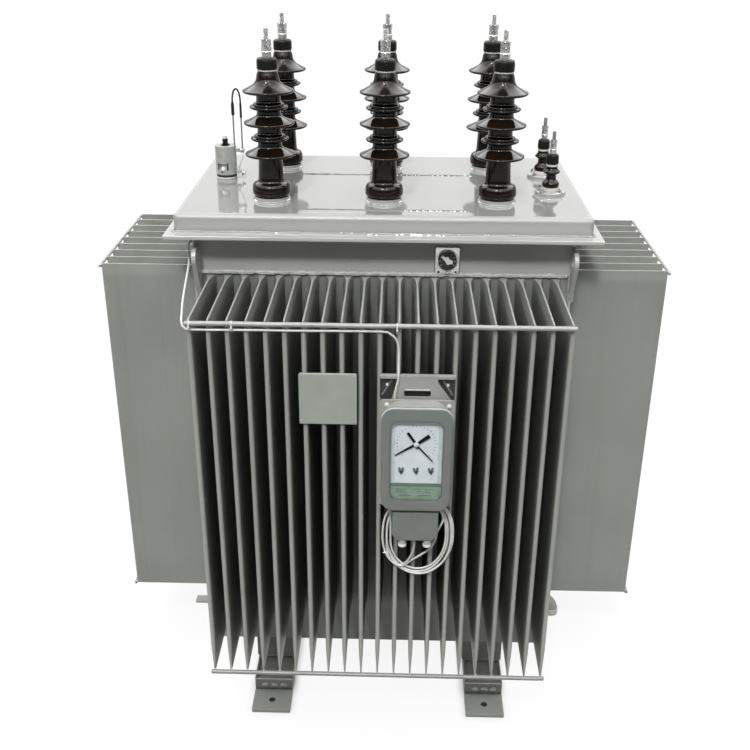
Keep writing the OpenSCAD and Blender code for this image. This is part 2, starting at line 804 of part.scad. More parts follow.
module thermometer_bracket() {
    t = bracket_t;
    foot = bracket_top - bracket_h;
    lip_face = fin_face_y + lip_d;
    color(body_grey) translate([thermo_x, 0, 0]) {
        to_front(fin_face_y, fin_face_y + t) translate([0, bracket_top - bracket_h / 2])
            square([bracket_w, bracket_h], center = true);
        to_front(fin_face_y, lip_face) translate([0, bracket_top - t / 2])
            square([bracket_w, t], center = true);
        // Apron that hangs from the lip, with a slot to grip
        to_front(lip_face - t, lip_face) difference() {
            polygon([[-apron_w / 2, bracket_top - t / 2],
                [apron_w / 2, bracket_top - t / 2],
                [apron_right, apron_foot], [-apron_left, apron_foot]]);
            translate([0, bracket_top - slot_drop])
                square([slot_w, slot_h], center = true);
        }
        // Rails that stand the case off the fins
        for (s = [-1, 1]) translate([s * (bracket_w - t) / 2, 0, 0])
            to_front(fin_face_y, rail_face) translate([0, (apron_foot + foot) / 2])
                square([t, apron_foot - foot], center = true);
    }
}

case_mid = (case_top + case_bottom) / 2;
recess_face = case_face - recess_d;
card_t = 2;
module window_shape() { rounded(window_w, window_h, window_r); }
module thermometer_case() {
    color(body_grey) translate([thermo_x, 0, 0]) {
        to_front(rail_face, case_back) translate([0, case_mid - case_flange_drop / 2])
            square([bracket_w, case_h + case_flange_drop], center = true);
        difference() {
            to_front(case_back, case_face) translate([0, case_mid])
                rounded(case_w, case_h, case_r);
            to_front(recess_face, case_face + 1) translate([0, window_z]) window_shape();
        }
    }
}

module thermometer_dial() {
    color("white") translate([thermo_x, 0, window_z])
        to_front(recess_face, recess_face + card_t) window_shape();
}

module thermometer_window() {
    color([0.85, 0.9, 0.95, 0.4]) translate([thermo_x, 0, window_z])
        to_front(case_face - window_t, case_face) window_shape();
}

box_x = thermo_x + 1;
box_r = 8;
groove_in = 3;
box_top = case_bottom - groove_h;
box_bottom = box_top - box_h;
module terminal_box() {
    color(body_grey) translate([box_x, 0, 0]) {
        to_front(box_back + groove_in, box_back + box_d - groove_in)
            translate([0, box_top + groove_h / 2])
                square([box_w - 2 * groove_in, groove_h], center = true);
        to_front(box_back, box_back + box_d)
            translate([0, box_top - box_h / 2]) rounded(box_w, box_h, box_r);
    }
}

socket_y = socket_inset - wall_y;
socket_z = rim_z - socket_drop;
module cable_glands() {
    color("white") for (s = [-1, 1])
        translate([box_x + s * gland_pitch / 2, -(box_back + box_d / 2),
            box_bottom - gland_l])
            cylinder(h = gland_l, d = gland_d);
    // Socket on the end wall, where the capillary tube goes into the tank
    color(steel) translate([-wall_x - socket_l / 2, socket_y, socket_z])
        bar_x(socket_l, gland_d);
}

module coil_ring(w, h) {
    square([w, h - w], center = true);
    for (s = [-1, 1]) translate([0, s * (h - w) / 2]) circle(w / 2);
}
module capillary_coil() {
    color(lid_grey) translate([thermo_x + coil_shift, 0, coil_z])
        to_front(coil_y - coil_t / 2, coil_y + coil_t / 2) difference() {
            coil_ring(coil_w, coil_h);
            coil_ring(coil_w - 2 * coil_band, coil_h - 2 * coil_band);
        }
}

module capillary_tube() {
    color(lid_grey) tube_along(smooth(tube_route, 3), tube_d, tube_sides);
}

module capillary_tail() {
    color(lid_grey) tube_along(smooth(tail_route, 2), tube_d, tube_sides);
}

skids();
foot_plates();
bearers();
tank_bottom();
panel_front();
panel_rear();
panel_left();
panel_right();
long_fins(0);  // fins_front
long_fins(180);  // fins_rear
end_fins(-90);  // fins_left
end_fins(90);  // fins_right
tie_bars();
upper_band();
rim_flange();
lid_flange();
lid_box();
lid_bosses();
lifting_lugs();
bushing(-1, -1);  // bushing_front_left
bushing(0, -1);  // bushing_front_middle
bushing(1, -1);  // bushing_front_right
bushing(-1, 1);  // bushing_rear_left
bushing(0, 1);  // bushing_rear_middle
bushing(1, 1);  // bushing_rear_right
terminal_row(-1);  // terminals_front
terminal_row(1);  // terminals_rear
small_bushings();
small_terminals();
relief_valve();
pull_loop();
oil_gauge();
blank_plate();
thermometer_bracket();
thermometer_case();
thermometer_dial();
thermometer_window();
terminal_box();
cable_glands();
capillary_coil();
capillary_tube();
capillary_tail();
drain_elbow();
earth_plate();
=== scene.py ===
"""Looks of the oil-immersed series reactor, built around its CAD frame."""
import random
from math import asin, atan2, copysign, cos, hypot, pi, radians, sin
import bpy
import bmesh
from mathutils import Matrix, Vector
from mathutils.geometry import tessellate_polygon


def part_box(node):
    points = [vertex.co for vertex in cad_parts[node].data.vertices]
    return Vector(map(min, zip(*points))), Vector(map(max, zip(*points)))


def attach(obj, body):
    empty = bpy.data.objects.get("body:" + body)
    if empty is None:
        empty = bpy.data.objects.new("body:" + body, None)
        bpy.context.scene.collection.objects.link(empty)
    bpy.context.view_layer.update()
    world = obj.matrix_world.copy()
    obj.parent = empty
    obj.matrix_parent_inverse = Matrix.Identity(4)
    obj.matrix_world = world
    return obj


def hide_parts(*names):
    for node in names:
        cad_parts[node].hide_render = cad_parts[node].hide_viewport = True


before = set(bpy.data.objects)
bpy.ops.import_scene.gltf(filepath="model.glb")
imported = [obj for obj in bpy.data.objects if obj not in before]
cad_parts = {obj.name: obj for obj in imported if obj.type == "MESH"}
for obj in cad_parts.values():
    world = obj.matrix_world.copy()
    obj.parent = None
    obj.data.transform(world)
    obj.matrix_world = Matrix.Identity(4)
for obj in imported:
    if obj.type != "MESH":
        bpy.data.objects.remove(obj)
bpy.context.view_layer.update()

MM = 0.001      # shapes are drawn in millimetres, and the scene is in metres
rng = random.Random(7)


def add_object(name, data):
    obj = bpy.data.objects.new(name, data)
    bpy.context.scene.collection.objects.link(obj)
    return obj


# ---- camera ----

SENSOR, LENS = 36, 48.78
CAMERA_AT = (0.0387, -2.82, 2.2144)
PITCH, YAW, ROLL = [radians(a) for a in (25.18, -1.30, -0.36)]


def make_camera():
    data = bpy.data.cameras.new("camera")
    cam = add_object("camera", data)
    bpy.context.scene.camera = cam
    data.sensor_width, data.lens, data.clip_end = SENSOR, LENS, 50
    look = Vector((sin(YAW) * cos(PITCH), cos(YAW) * cos(PITCH), -sin(PITCH)))
    side = Vector((cos(YAW), -sin(YAW), 0))
    down = look.cross(side)
    right = cos(ROLL) * side + sin(ROLL) * down
    down = -sin(ROLL) * side + cos(ROLL) * down
    m = Matrix((right, -down, -look)).transposed().to_4x4()
    m.translation = CAMERA_AT
    cam.matrix_world = m


make_camera()


# ---- places from the CAD frame ----

def box(node):
    """The two corners of a CAD node's box, in millimetres"""
    return [Vector([round(c / MM, 3) for c in corner]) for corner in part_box(node)]


def front_of(node):
    """Middle in x and z, width and height of a node's front, then its near and far y"""
    lo, hi = box(node)
    return (lo.x + hi.x) / 2, (lo.z + hi.z) / 2, hi.x - lo.x, hi.z - lo.z, lo.y, hi.y


BAND_LO, BAND_HI = box("upper_band")
WALL_X, WALL_Y = BAND_HI.x, BAND_HI.y


# ---- mesh kit ----

UP = Vector((0, 0, 1))
CORNERS = [(sx, sy) for sx in (-1, 1) for sy in (-1, 1)]


def turns(n):
    """Cosine and sine of n angles evenly round a circle"""
    return [(cos(2 * pi * k / n), sin(2 * pi * k / n)) for k in range(n)]


class Piece:
    """Gathers shapes in millimetres, each with its material, into one mesh object"""

    def __init__(self, name, slot, mats, replaces=(), sharp=38, soft_normals=True):
        self.name, self.slot, self.mats = name, slot, mats
        self.nodes, self.sharp, self.soft = replaces, sharp, soft_normals
        self.verts, self.faces, self.index = [], [], []

    def add(self, verts, faces, mat=0, place=None):
        first = len(self.verts)
        self.verts += [place @ Vector(v) if place else Vector(v) for v in verts]
        self.faces += [[first + i for i in f] for f in faces]
        self.index += [mat] * len(faces)

    def grid(self, rows, mat=0, place=None, closed=False, caps=False):
        """Skin over rows of points; closed joins each row's end to its start"""
        n, last = len(rows[0]), len(rows) - 1
        span = n if closed else n - 1
        faces = [(r * n + i, r * n + (i + 1) % n, (r + 1) * n + (i + 1) % n, (r + 1) * n + i)
                 for r in range(last) for i in range(span)]
        if caps:
            faces += [list(range(n))[::-1], [last * n + i for i in range(n)]]
        self.add([v for row in rows for v in row], faces, mat, place)

    def lathe(self, profile, at, mat=0, n=48, poles=(True, True)):
        """Turned shape from (radius, height) pairs, at a point or placed by a matrix;
        poles says which ends close on the axis, and the others get one flat face"""
        ends = [[(0, z)] if pole and r > 1e-9 else []
                for pole, (r, z) in zip(poles, (profile[0], profile[-1]))]
        rows = [[(max(r, 1e-3) * c, max(r, 1e-3) * s, z) for c, s in turns(n)]
                for r, z in ends[0] + profile + ends[1]]
        place = at if isinstance(at, Matrix) else Matrix.Translation(at)
        self.grid(rows, mat, place, closed=True, caps=True)

    def tube(self, path, radius, mat=0, n=10, closed=False):
        """Tube along points; radius is one number or one per point"""
        pts = [Vector(p) for p in path]
        m = len(pts)
        radii = radius if isinstance(radius, list) else [radius] * m
        rows, up = [], None
        for i, p in enumerate(pts):
            a = pts[(i - 1) % m] if closed or i else p
            b = pts[(i + 1) % m] if closed or i < m - 1 else p
            t = (b - a).normalized()
            if up is None:
                up = UP if abs(t.z) < 0.9 else Vector((0, 1, 0))
            up = (up - up.dot(t) * t).normalized()
            w = t.cross(up)
            rows.append([p + radii[i] * (c * up + s * w) for c, s in turns(n)])
        if closed:
            rows.append(rows[0])
        self.grid(rows, mat, closed=True, caps=not closed)

    def block(self, lo, hi, mat=0, bevel=1.0, segments=2, place=None):
        """Box with rounded edges"""
        lo, hi = Vector(lo), Vector(hi)
        bm = cube(lo, hi)
        round_edges(bm, bm.edges[:], min(bevel, min(hi - lo) * 0.45), segments)
        self.take(bm, mat, place)

    def take(self, bm, mat=0, place=None):
        bm.verts.index_update()
        self.add([v.co.copy() for v in bm.verts], [[v.index for v in f.verts] for f in bm.faces],
                 mat, place)
        bm.free()

    def slab(self, outline, depth, place, mat=0, holes=(), bevel=0.6):
        """Plate with this outline in x and y, from z = 0 to depth, edges rounded"""
        levels = [(bevel, 0), (bevel * 0.3, bevel * 0.3), (0, bevel), (0, depth - bevel),
                  (bevel * 0.3, depth - bevel * 0.3), (bevel, depth)]
        loops = [turned(loop, k > 0) for k, loop in enumerate([outline, *holes])]
        starts = []
        for loop in loops:
            starts.append(len(self.verts))
            self.grid([[(x, y, z) for x, y in inset(loop, d)] for d, z in levels], mat, place,
                      closed=True)
        out = place.to_3x3() @ UP
        for level, flip in ((0, True), (len(levels) - 1, False)):
            flat, back = [], []
            for start, loop in zip(starts, loops):
                flat.append([Vector((x, y, 0)) for x, y in inset(loop, bevel)])
                back += [start + level * len(loop) + i for i in range(len(loop))]
            for tri in tessellate_polygon(flat):
                ids = [back[i] for i in tri]
                a, b, c = [self.verts[i] for i in ids]
                up = (b - a).cross(c - a).dot(out)
                self.faces.append(ids[::-1] if (up > 0) == flip else ids)
                self.index.append(mat)

    def build(self):
        mesh = bpy.data.meshes.new(self.name)
        mesh.from_pydata([tuple(v * MM) for v in self.verts], [], self.faces)
        for m in self.mats:
            mesh.materials.append(m)
        mesh.polygons.foreach_set("material_index", self.index)
        mesh.polygons.foreach_set("use_smooth", [True] * len(self.faces))
        bm = bmesh.new()
        bm.from_mesh(mesh)
        bmesh.ops.remove_doubles(bm, verts=bm.verts, dist=2e-6)
        bmesh.ops.recalc_face_normals(bm, faces=bm.faces)
        bm.to_mesh(mesh)
        bm.free()
        mesh.set_sharp_from_angle(angle=radians(self.sharp))
        obj = add_object(self.name, mesh)
        if self.soft:
            obj.modifiers.new("normals", "WEIGHTED_NORMAL").keep_sharp = True
        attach(obj, "root")
        if self.nodes:
            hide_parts(*self.nodes)


def cube(lo, hi):
    bm = bmesh.new()
    bmesh.ops.create_cube(bm, size=1)
    for v in bm.verts:
        v.co = (lo + hi) / 2 + v.co * (hi - lo)
    return bm


def round_edges(bm, edges, offset, segments):
    bmesh.ops.bevel(bm, geom=edges, offset=offset, segments=segments, profile=0.5,
                    affect="EDGES")


def turned(loop, clockwise=False):
    """The loop, run anticlockwise, or clockwise for a hole"""
    area = sum(a[0] * b[1] - b[0] * a[1] for a, b in zip(loop, loop[1:] + loop[:1]))
    return loop if (area > 0) != clockwise else loop[::-1]


def inset(loop, d):
    """The loop moved to its left by d, so an outline shrinks and a hole grows"""
    out, n = [], len(loop)
    for i in range(n):
        a, p, b = [Vector(loop[(i + k) % n]) for k in (-1, 0, 1)]
        e, f = (p - a).normalized(), (b - p).normalized()
        m = Vector((-e.y - f.y, e.x + f.x))
        m = m / max(m.length_squared / 2, 0.4)
        out.append((p.x + m.x * d, p.y + m.y * d))
    return out


def arc(cx, cy, r, a0, a1, n):
    angles = [radians(a0 + (a1 - a0) * k / n) for k in range(n + 1)]
    return [(cx + r * cos(a), cy + r * sin(a)) for a in angles]


def circle(cx, cy, r, n=24):
    return arc(cx, cy, r, 0, 360, n)[:-1]


def rounded(w, h, r, cx=0, cy=0, n=5):
    out = []
    for sx, sy, a in ((1, 1, 0), (-1, 1, 90), (-1, -1, 180), (1, -1, 270)):
        out += arc(cx + sx * (w / 2 - r), cy + sy * (h / 2 - r), r, a, a + 90, n)
    return out


def shift(x, y, z):
    return Matrix.Translation((x, y, z))


def rot(angle, axis="Z"):
    return Matrix.Rotation(angle, 4, axis)


def front(x, y, z):
    """Stands a flat shape upright, so that its z looks to the front"""
    return Matrix(((1, 0, 0, x), (0, 0, -1, y), (0, 1, 0, z), (0, 0, 0, 1)))


def wander(n, size, step=3):
    """Smooth random values, for welds and hand-laid rods"""
    knots = [rng.uniform(-size, size) for _ in range(n // step + 3)]
    out = []
    for i in range(n):
        k, t = divmod(i, step)
        t = ease(t / step)
        out.append(knots[k] * (1 - t) + knots[k + 1] * t)
    return out


def ease(t):
    """Smooth step from 0 to 1"""
    t = max(0.0, min(1.0, t))
    return t * t * (3 - 2 * t)


def line(a, b, step):
    a, b = Vector(a), Vector(b)
    n = max(2, int((b - a).length / step))
    return [a + (b - a) * (i / n) for i in range(n + 1)]


def bead(piece, a, b, r, mat=0, step=6, n=6):
    """Weld bead with an uneven back"""
    path = line(a, b, step)
    swell, rise = wander(len(path), 0.28, 1), wander(len(path), 0.25, 2)
    piece.tube([p + UP * dz * r for p, dz in zip(path, rise)],
               [r * (1 + w) for w in swell], mat, n)


def blob(piece, at, r, mat=0):
    """Drop of weld metal"""
    piece.lathe([(r * cos(radians(a)), 0.75 * r * sin(radians(a))) for a in range(-90, 91, 30)],
                at, mat, 9)


def hexagon(piece, place, r, h, mat=0, z=0.0, n=36):
    """Hexagon nut with its corners turned off"""
    rows = []
    for share, cut in ((0, 0.90), (0.12, 1), (0.88, 1), (1, 0.90)):
        row = []
        for a in [2 * pi * k / n for k in range(n)]:
            reach = r * min(cut, cos(pi / 6) / cos(a % (pi / 3) - pi / 6))
            row.append((reach * cos(a), reach * sin(a), z + h * share))
        rows.append(row)
    piece.grid(rows, mat, place, closed=True, caps=True)


def bolt(piece, place, r, h, mat, stud=0.0):
    """Hexagon head on a washer, looking along the place's z"""
    piece.lathe([(r * 1.75, 0), (r * 1.8, 0.3), (r * 1.75, 1.3), (r * 1.5, 1.6)], place, mat, 20)
    hexagon(piece, place, r, h, mat, 1.5)
    if stud:
        tip = 1.5 + h + stud
        piece.lathe([(r * 0.52, 1.5), (r * 0.52, tip - 1), (r * 0.4, tip)], place, mat, 14)


def screw(piece, place, r, mat=0, dark=None):
    """Round screw head, with a slot drawn as a dark bar, painted shade, if a material is given for
    it
    """
    piece.lathe([(r, 0), (r, 0.25 * r), (r * 0.85, 0.5 * r), (r * 0.5, 0.68 * r),
                 (0, 0.72 * r)], place, mat, 20)
    if dark is not None:
        piece.block((-r * 0.7, -r * 0.12, r * 0.5), (r * 0.7, r * 0.12, r * 0.74), dark,
                    bevel=0.05 * r, segments=1, place=place)


# ---- materials ----

class Graph:
    """Short calls that add nodes to a node tree"""

    def __init__(self, tree):
        self.nodes, self.links = tree.nodes, tree.links

    def put(self, socket, value):
        """Links an output into the socket, or sets a plain value on it"""
        if hasattr(value, "is_output"):
            self.links.new(value, socket)
        else:
            socket.default_value = value

    def node(self, kind, inputs=None, **settings):
        made = self.nodes.new("ShaderNode" + kind)
        for key, value in settings.items():
            setattr(made, key, value)
        for key, value in (inputs or {}).items():
            self.put(made.inputs[key], value)
        return made

    def mix(self, kind, fac, a, b):
        return self.node("Mix", {"Factor": fac, 6: a, 7: b}, data_type="RGBA",
                         blend_type=kind).outputs[2]

    def span(self, value, a, b, lo, hi, **settings):
        """The value's range from a to b, turned into lo to hi"""
        return self.node("MapRange", {0: value, 1: a, 2: b, 3: lo, 4: hi}, **settings).outputs[0]

    def maths(self, kind, a, b):
        return self.node("Math", {0: a, 1: b}, operation=kind).outputs[0]

    def hollow(self, distance, **settings):
        """1 in the open, towards 0 where surfaces within the distance close it in"""
        return self.node("AmbientOcclusion", {"Distance": distance}, **settings).outputs["AO"]

    def blend(self, fac, a, b):
        return self.node("MixShader", {0: fac, 1: a.outputs[0], 2: b.outputs[0]})

    def rays(self, *kinds):
        """1 for the kinds of ray named, and 0 for the others"""
        path = self.node("LightPath")
        total = path.outputs[kinds[0]]
        for kind in kinds[1:]:
            total = self.maths("MAXIMUM", total, path.outputs[kind])
        return total


def finish(name, base, rough=0.4, mottle=(0.06, 6), grain=None, metal=0.0, crevice_dark=0.0, edge=0.0,
           coat=0.0, spread=0.06, ior=1.5, streak=0.0, painted_shade=0.0):
    """Procedural surface: uneven colour and sheen, fine grain, darkening in crevices, painted shade
    in deep recesses, and worn edges

    mottle and grain are each an amount and a scale
    """
    mat = bpy.data.materials.new(name)
    mat.use_nodes = True
    g = Graph(mat.node_tree)
    coords = g.node("TexCoord").outputs["Object"]

    def noise(size, detail, at=coords):
        return g.node("TexNoise", {"Vector": at, "Scale": size, "Detail": detail}).outputs["Fac"]

    def shade(by):
        return [min(1, c * by) for c in base] + [1]

    amount, scale = mottle
    broad, fine = noise(scale, 3), noise(scale * 9, 4)
    speck = g.mix("MIX", g.span(fine, 0.3, 0.7, 0, 1), (1 - amount * 0.5,) * 3 + (1,),
                  (1, 1, 1, 1))
    colour = g.mix("MIX", g.span(broad, 0.35, 0.65, 0, 1), shade(1 - amount), shade(1 + amount))
    colour = g.mix("MULTIPLY", 1.0, colour, speck)
    if streak:
        upright = g.node("Mapping", {"Vector": coords, "Scale": (40, 40, 1.2)}).outputs[0]
        run = g.span(noise(1, 2, upright), 0.52, 0.78, 0, streak)
        colour = g.mix("MULTIPLY", run, colour, (0.62, 0.60, 0.55, 1))
    # colour darkened towards a brown grey in crevices within 2 cm, found by ambient occlusion
    if crevice_dark:
        crevice_mask = g.span(g.hollow(0.02, samples=4, only_local=True), 0.35, 0.95, crevice_dark, 0)
        colour = g.mix("MULTIPLY", crevice_mask, colour, (0.45, 0.43, 0.38, 1))
    # painted shade: colour darkened towards near black where surfaces close in within 9 cm, as in
    # the gaps between the folds
    if painted_shade:
        painted_shade_mask = g.span(g.hollow(0.09, samples=4), 0.12, 0.37, painted_shade, 0)
        colour = g.mix("MULTIPLY", painted_shade_mask, colour, (0.10, 0.10, 0.09, 1))
    if edge:
        bevel = g.node("Bevel", {"Radius": 1.5 * MM}, samples=3)
        dot = g.node("VectorMath", {0: bevel.outputs[0],
                                    1: g.node("NewGeometry").outputs["Normal"]},
                     operation="DOT_PRODUCT")
        worn = g.maths("MULTIPLY", g.span(dot.outputs["Value"], 0.995, 0.90, 0, edge),
                       g.span(noise(60, 3), 0.45, 0.62, 0, 1))
        colour = g.mix("MIX", worn, colour, [min(1, c * 1.7 + 0.05) for c in base] + [1])
    looks = {"Base Color": colour, "Metallic": metal, "IOR": ior, "Coat Weight": coat,
             "Coat Roughness": 0.05,
             "Roughness": g.span(fine, 0.25, 0.75, max(0.02, rough - spread),
                                 min(1, rough + spread))}
    if grain:
        looks["Normal"] = g.node("Bump", {"Strength": grain[0], "Distance": 0.4 * MM,
                                          "Height": noise(grain[1], 2)}).outputs[0]
    for socket, value in looks.items():
        g.put(g.nodes["Principled BSDF"].inputs[socket], value)
    return mat


TANK = dict(rough=0.42, mottle=(0.05, 5), grain=(0.12, 260), edge=0.5)
CHIPPED = dict(grain=(0.15, 300), crevice_dark=0.3)
GLOSSY = dict(mottle=(0.025, 4), grain=(0.03, 90), edge=0.25)
PAINT = finish("tank_paint", (0.345, 0.355, 0.325), crevice_dark=0.5, streak=0.25, painted_shade=0.9, **TANK)
# a darker copy of the tank paint, painted shade, for the end folds, the walls, the feet and the
# drain
SHADED_TANK_PAINT = finish("shaded_tank_paint", (0.262, 0.272, 0.248), crevice_dark=0.5, streak=0.25, painted_shade=0.8, **TANK)
BAND = finish("band_paint", (0.46, 0.455, 0.435), **TANK)
SKID = finish("skid_paint", (0.16, 0.165, 0.15), 0.45, (0.08, 12), (0.15, 300), crevice_dark=0.4,
              edge=0.5, painted_shade=0.25)
# a lighter copy of the tank paint, painted highlight, for the lugs, the case's rim and the drain's
# socket
LIT_LUG_PAINT = finish("edge_paint", (0.46, 0.47, 0.44), 0.38, (0.06, 14), edge=0.5, **CHIPPED)
FITTING = finish("fitting_paint", (0.34, 0.345, 0.325), 0.4, (0.06, 14), edge=0.4, **CHIPPED)
ROD = finish("rod_paint", (0.205, 0.21, 0.195), 0.42, (0.10, 18), edge=0.5, **CHIPPED)
LID = finish("lid_paint", (0.36, 0.36, 0.35), 0.08, spread=0.03, coat=1.0, crevice_dark=0.3, **GLOSSY)
# a lighter copy of the lid paint for the lid's flange: painted highlight along its edge
LIT_LID_EDGE = finish("lit_lid_flange_paint", (0.455, 0.455, 0.44), 0.10, spread=0.03, coat=1.0, **GLOSSY)
LID_ROUND = finish("lid_round_paint", (0.36, 0.36, 0.35), **GLOSSY)
# a lighter copy of the paint for weld beads and drops: painted highlight
LIT_WELD_PAINT = finish("lit_weld_paint", (0.52, 0.525, 0.50), 0.28, (0.16, 60), (0.5, 350), coat=0.3)
GLAZE = finish("brown_glaze", (0.010, 0.006, 0.0035), 0.06, (0.35, 18), (0.04, 60), spread=0.03,
               ior=1.29)
CAP = finish("black_cap", (0.013, 0.013, 0.012), 0.34, (0.2, 40), (0.2, 700), ior=1.18)
ZINC = finish("zinc_steel", (0.42, 0.42, 0.41), 0.27, (0.12, 50), (0.12, 900), 0.85, spread=0.1)
BRIGHT = finish("bright_zinc", (0.74, 0.74, 0.72), 0.34, (0.1, 50), (0.1, 900), 0.3)
THREAD = finish("thread_steel", (0.40, 0.40, 0.39), 0.34, (0.15, 80), (0.2, 900), 0.8)
DULL_STEEL = finish("dull_steel", (0.16, 0.16, 0.155), 0.4, (0.15, 80), (0.2, 900), 0.5)
RUBBER = finish("gasket_rubber", (0.012, 0.012, 0.011), 0.6, (0.2, 60), (0.3, 800), ior=1.3)
PALE_RING = finish("pale_ring", (0.62, 0.61, 0.57), 0.35, (0.08, 70), (0.1, 500))
VALVE = finish("valve_grey", (0.36, 0.37, 0.35), 0.33, (0.08, 30), (0.12, 500), crevice_dark=0.4,
               edge=0.5)
PLATE = finish("plate_grey", (0.345, 0.375, 0.335), 0.34, (0.04, 20), (0.08, 500), edge=0.5)
SILVER = finish("gauge_plate", (0.80, 0.81, 0.79), 0.20, (0.08, 60), (0.1, 900), 0.85, edge=0.4)
BLACK = finish("dial_black", (0.008, 0.009, 0.010), 0.30, (0.3, 60), (0.05, 300), coat=0.15,
               ior=1.3)
WHITE = finish("pointer_white", (0.88, 0.89, 0.88), 0.4, (0.04, 80), (0.05, 300))
CASE = finish("case_grey", (0.175, 0.19, 0.175), 0.33, (0.05, 25), (0.2, 650), crevice_dark=0.35,
              edge=0.35)
INK = finish("pointer_black", (0.006, 0.006, 0.007), 0.6, (0.3, 80), ior=1.2)
KNOB = finish("knob_grey", (0.12, 0.14, 0.16), 0.45, (0.15, 80))
CARD = finish("dial_card", (0.84, 0.88, 0.90), 0.45, (0.05, 30), (0.03, 300))
GREEN = finish("green_strip", (0.265, 0.375, 0.275), 0.4, (0.12, 40), (0.05, 300))
DARK_GREEN = finish("dark_green", (0.13, 0.20, 0.145), 0.4, (0.1, 40))
CLEAR_EDGE = finish("window_rim", (0.62, 0.70, 0.69), 0.20, (0.06, 60), (0.04, 300), coat=0.8)
SHEATH = finish("tube_sheath", (0.72, 0.72, 0.68), 0.34, (0.08, 45), (0.15, 500), spread=0.08)
TIE = finish("white_tie", (0.78, 0.78, 0.75), 0.35, (0.04, 60), (0.08, 300))
GLAND = finish("gland_plastic", (0.42, 0.44, 0.41), 0.35, (0.08, 60), (0.1, 300))
SEAM = finish("lid_seam", (0.20, 0.19, 0.18), 0.35, (0.2, 40), (0.2, 300))
SHADE = finish("deep_dark", (0.02, 0.02, 0.02), 0.7, (0.2, 50), (0.2, 300))


def clear_window():
    mat = finish("clear_window", (0.93, 0.95, 0.97), 0.05, (0.01, 30), (0.01, 300), spread=0.02)
    g = Graph(mat.node_tree)
    see = g.node("BsdfTransparent", {0: (0.99, 0.995, 1.0, 1)})
    fresnel = g.node("Fresnel", {"IOR": 1.12}).outputs[0]
    pane = g.blend(fresnel, see, g.nodes["Principled BSDF"])
    g.put(g.nodes["Material Output"].inputs["Surface"], pane.outputs[0])
    return mat


CLEAR = clear_window()


# ---- corrugated tank ----

FIN_THICK, FIN_EDGE = 12, 4
PINCH_FOOT, PINCH_TOP = 90, 30
# turn about z, number of folds and thickness of the rods, on each side
SIDES = {"front": (0, 21, 12), "rear": (180, 21, 12), "left": (-90, 9, 8), "right": (90, 9, 8)}


def fold_row(side):
    """A side's turn, its wall's distance, and its folds' depth and places across"""
    turn, count, _ = SIDES[side]
    lo, hi = box("fins_" + side)
    across, wall, depth = hi.x, WALL_Y, hi.y - lo.y
    if side in ("left", "right"):
        across, wall, depth = hi.y, WALL_X, hi.x - lo.x
    pitch = (2 * across - FIN_THICK) / (count - 1)
    return rot(radians(turn)), wall, depth, [(i - (count - 1) / 2) * pitch for i in range(count)]


def fin(piece, place, depth, z0, z1, lean):
    """One hollow fold: rounded nose, pinched ends, sheet flaring into the wall"""
    levels = [z0 + h for h in (0, 6, 14, 26, 42, 60, 78, 92)]
    levels += [z0 + (z1 - z0) * k for k in (0.3, 0.55, 0.8)]
    levels += [z1 - h for h in (36, 28, 20, 12, 6, 2, 0)]
    rows = []
    for z in levels:
        up = min((z - z0) / PINCH_FOOT, (z1 - z) / PINCH_TOP, 1.0)
        half = FIN_EDGE / 2 + (FIN_THICK - FIN_EDGE) / 2 * (0.35 * ease(up) + 0.65 * up)
        bow = lean * sin(pi * (z - z0) / (z1 - z0))
        flare = 5 + 7 * ease((z - z1 + 60) / 60)
        row = [(half + flare * max(0.0, 1 - d / 66) ** (5 if d < 10 else 3), d)
               for d in (0.2, 2, 5, 10, 20, 40, 65, depth * 0.5, depth * 0.8)]
        row += [(half * cos(radians(a)), depth - half + half * sin(radians(a)))
                for a in (0, 20, 40, 60, 78, 90)]
        row += [(-x, d) for x, d in row[-2::-1]]
        rows.append([(x + bow * sin(pi * d / depth), -d, z) for x, d in row])
    piece.grid(rows, 0, place, caps=True)
    # seam weld along the top and the foot, which fades out near the wall
    for z, r in ((z1 - 1, 1.7), (z0 + 1.2, 1.6)):
        swell = wander(14, 0.2, 1)
        path = [place @ Vector((0, -(84 + (depth - 88) * k / 13), z)) for k in range(14)]
        piece.tube(path, [r * (1 + w) for w in swell], 1, 6)


def fins_of(side, paint):
    lo, hi = box("fins_" + side)
    piece = Piece("folds_" + side, "tank_paint", [paint, FITTING], ["fins_" + side])
    turn, wall, depth, places = fold_row(side)
    for x in places:
        fin(piece, turn @ shift(x, -wall, 0), depth, lo.z, hi.z, rng.uniform(-1, 1))
    piece.build()


def tie_rods():
    """Rods that tie the folds' noses together, with welds at each nose"""
    piece = Piece("tie_rods", "tank_paint", [FITTING, LIT_WELD_PAINT, ROD], ["tie_bars"])
    lo, hi = box("fins_front")
    for side, (_, _, d) in SIDES.items():
        turn, wall, depth, places = fold_row(side)
        half, y = places[-1] + FIN_THICK / 2 + 2, -(wall + depth + d / 2)
        for z, mat in ((lo.z + 2, 2), (hi.z - 6, 0)):
            path = line((-half, y, z), (half, y, z), 22.2)
            path = [turn @ (p + UP * dz) for p, dz in zip(path, wander(len(path), 0.5))]
            path.insert(1, path[0].lerp(path[1], 0.08))
            path.insert(-1, path[-1].lerp(path[-2], 0.08))
            end = [d * 0.36, d * 0.49]
            piece.tube(path, end + [d * 0.495] * (len(path) - 4) + end[::-1], mat, 14)
            for x in places:
                for s in (-1, 1):
                    if rng.random() < 0.25:
                        continue
                    r = rng.uniform(2.2, 3.4)
                    blob(piece, turn @ Vector((x + s * 1.5, y + d * 0.42,
                                               z + s * rng.uniform(2.5, 4))), r, 1)
    piece.build()


for name in SIDES:
    fins_of(name, PAINT if name in ("front", "rear") else SHADED_TANK_PAINT)
tie_rods()


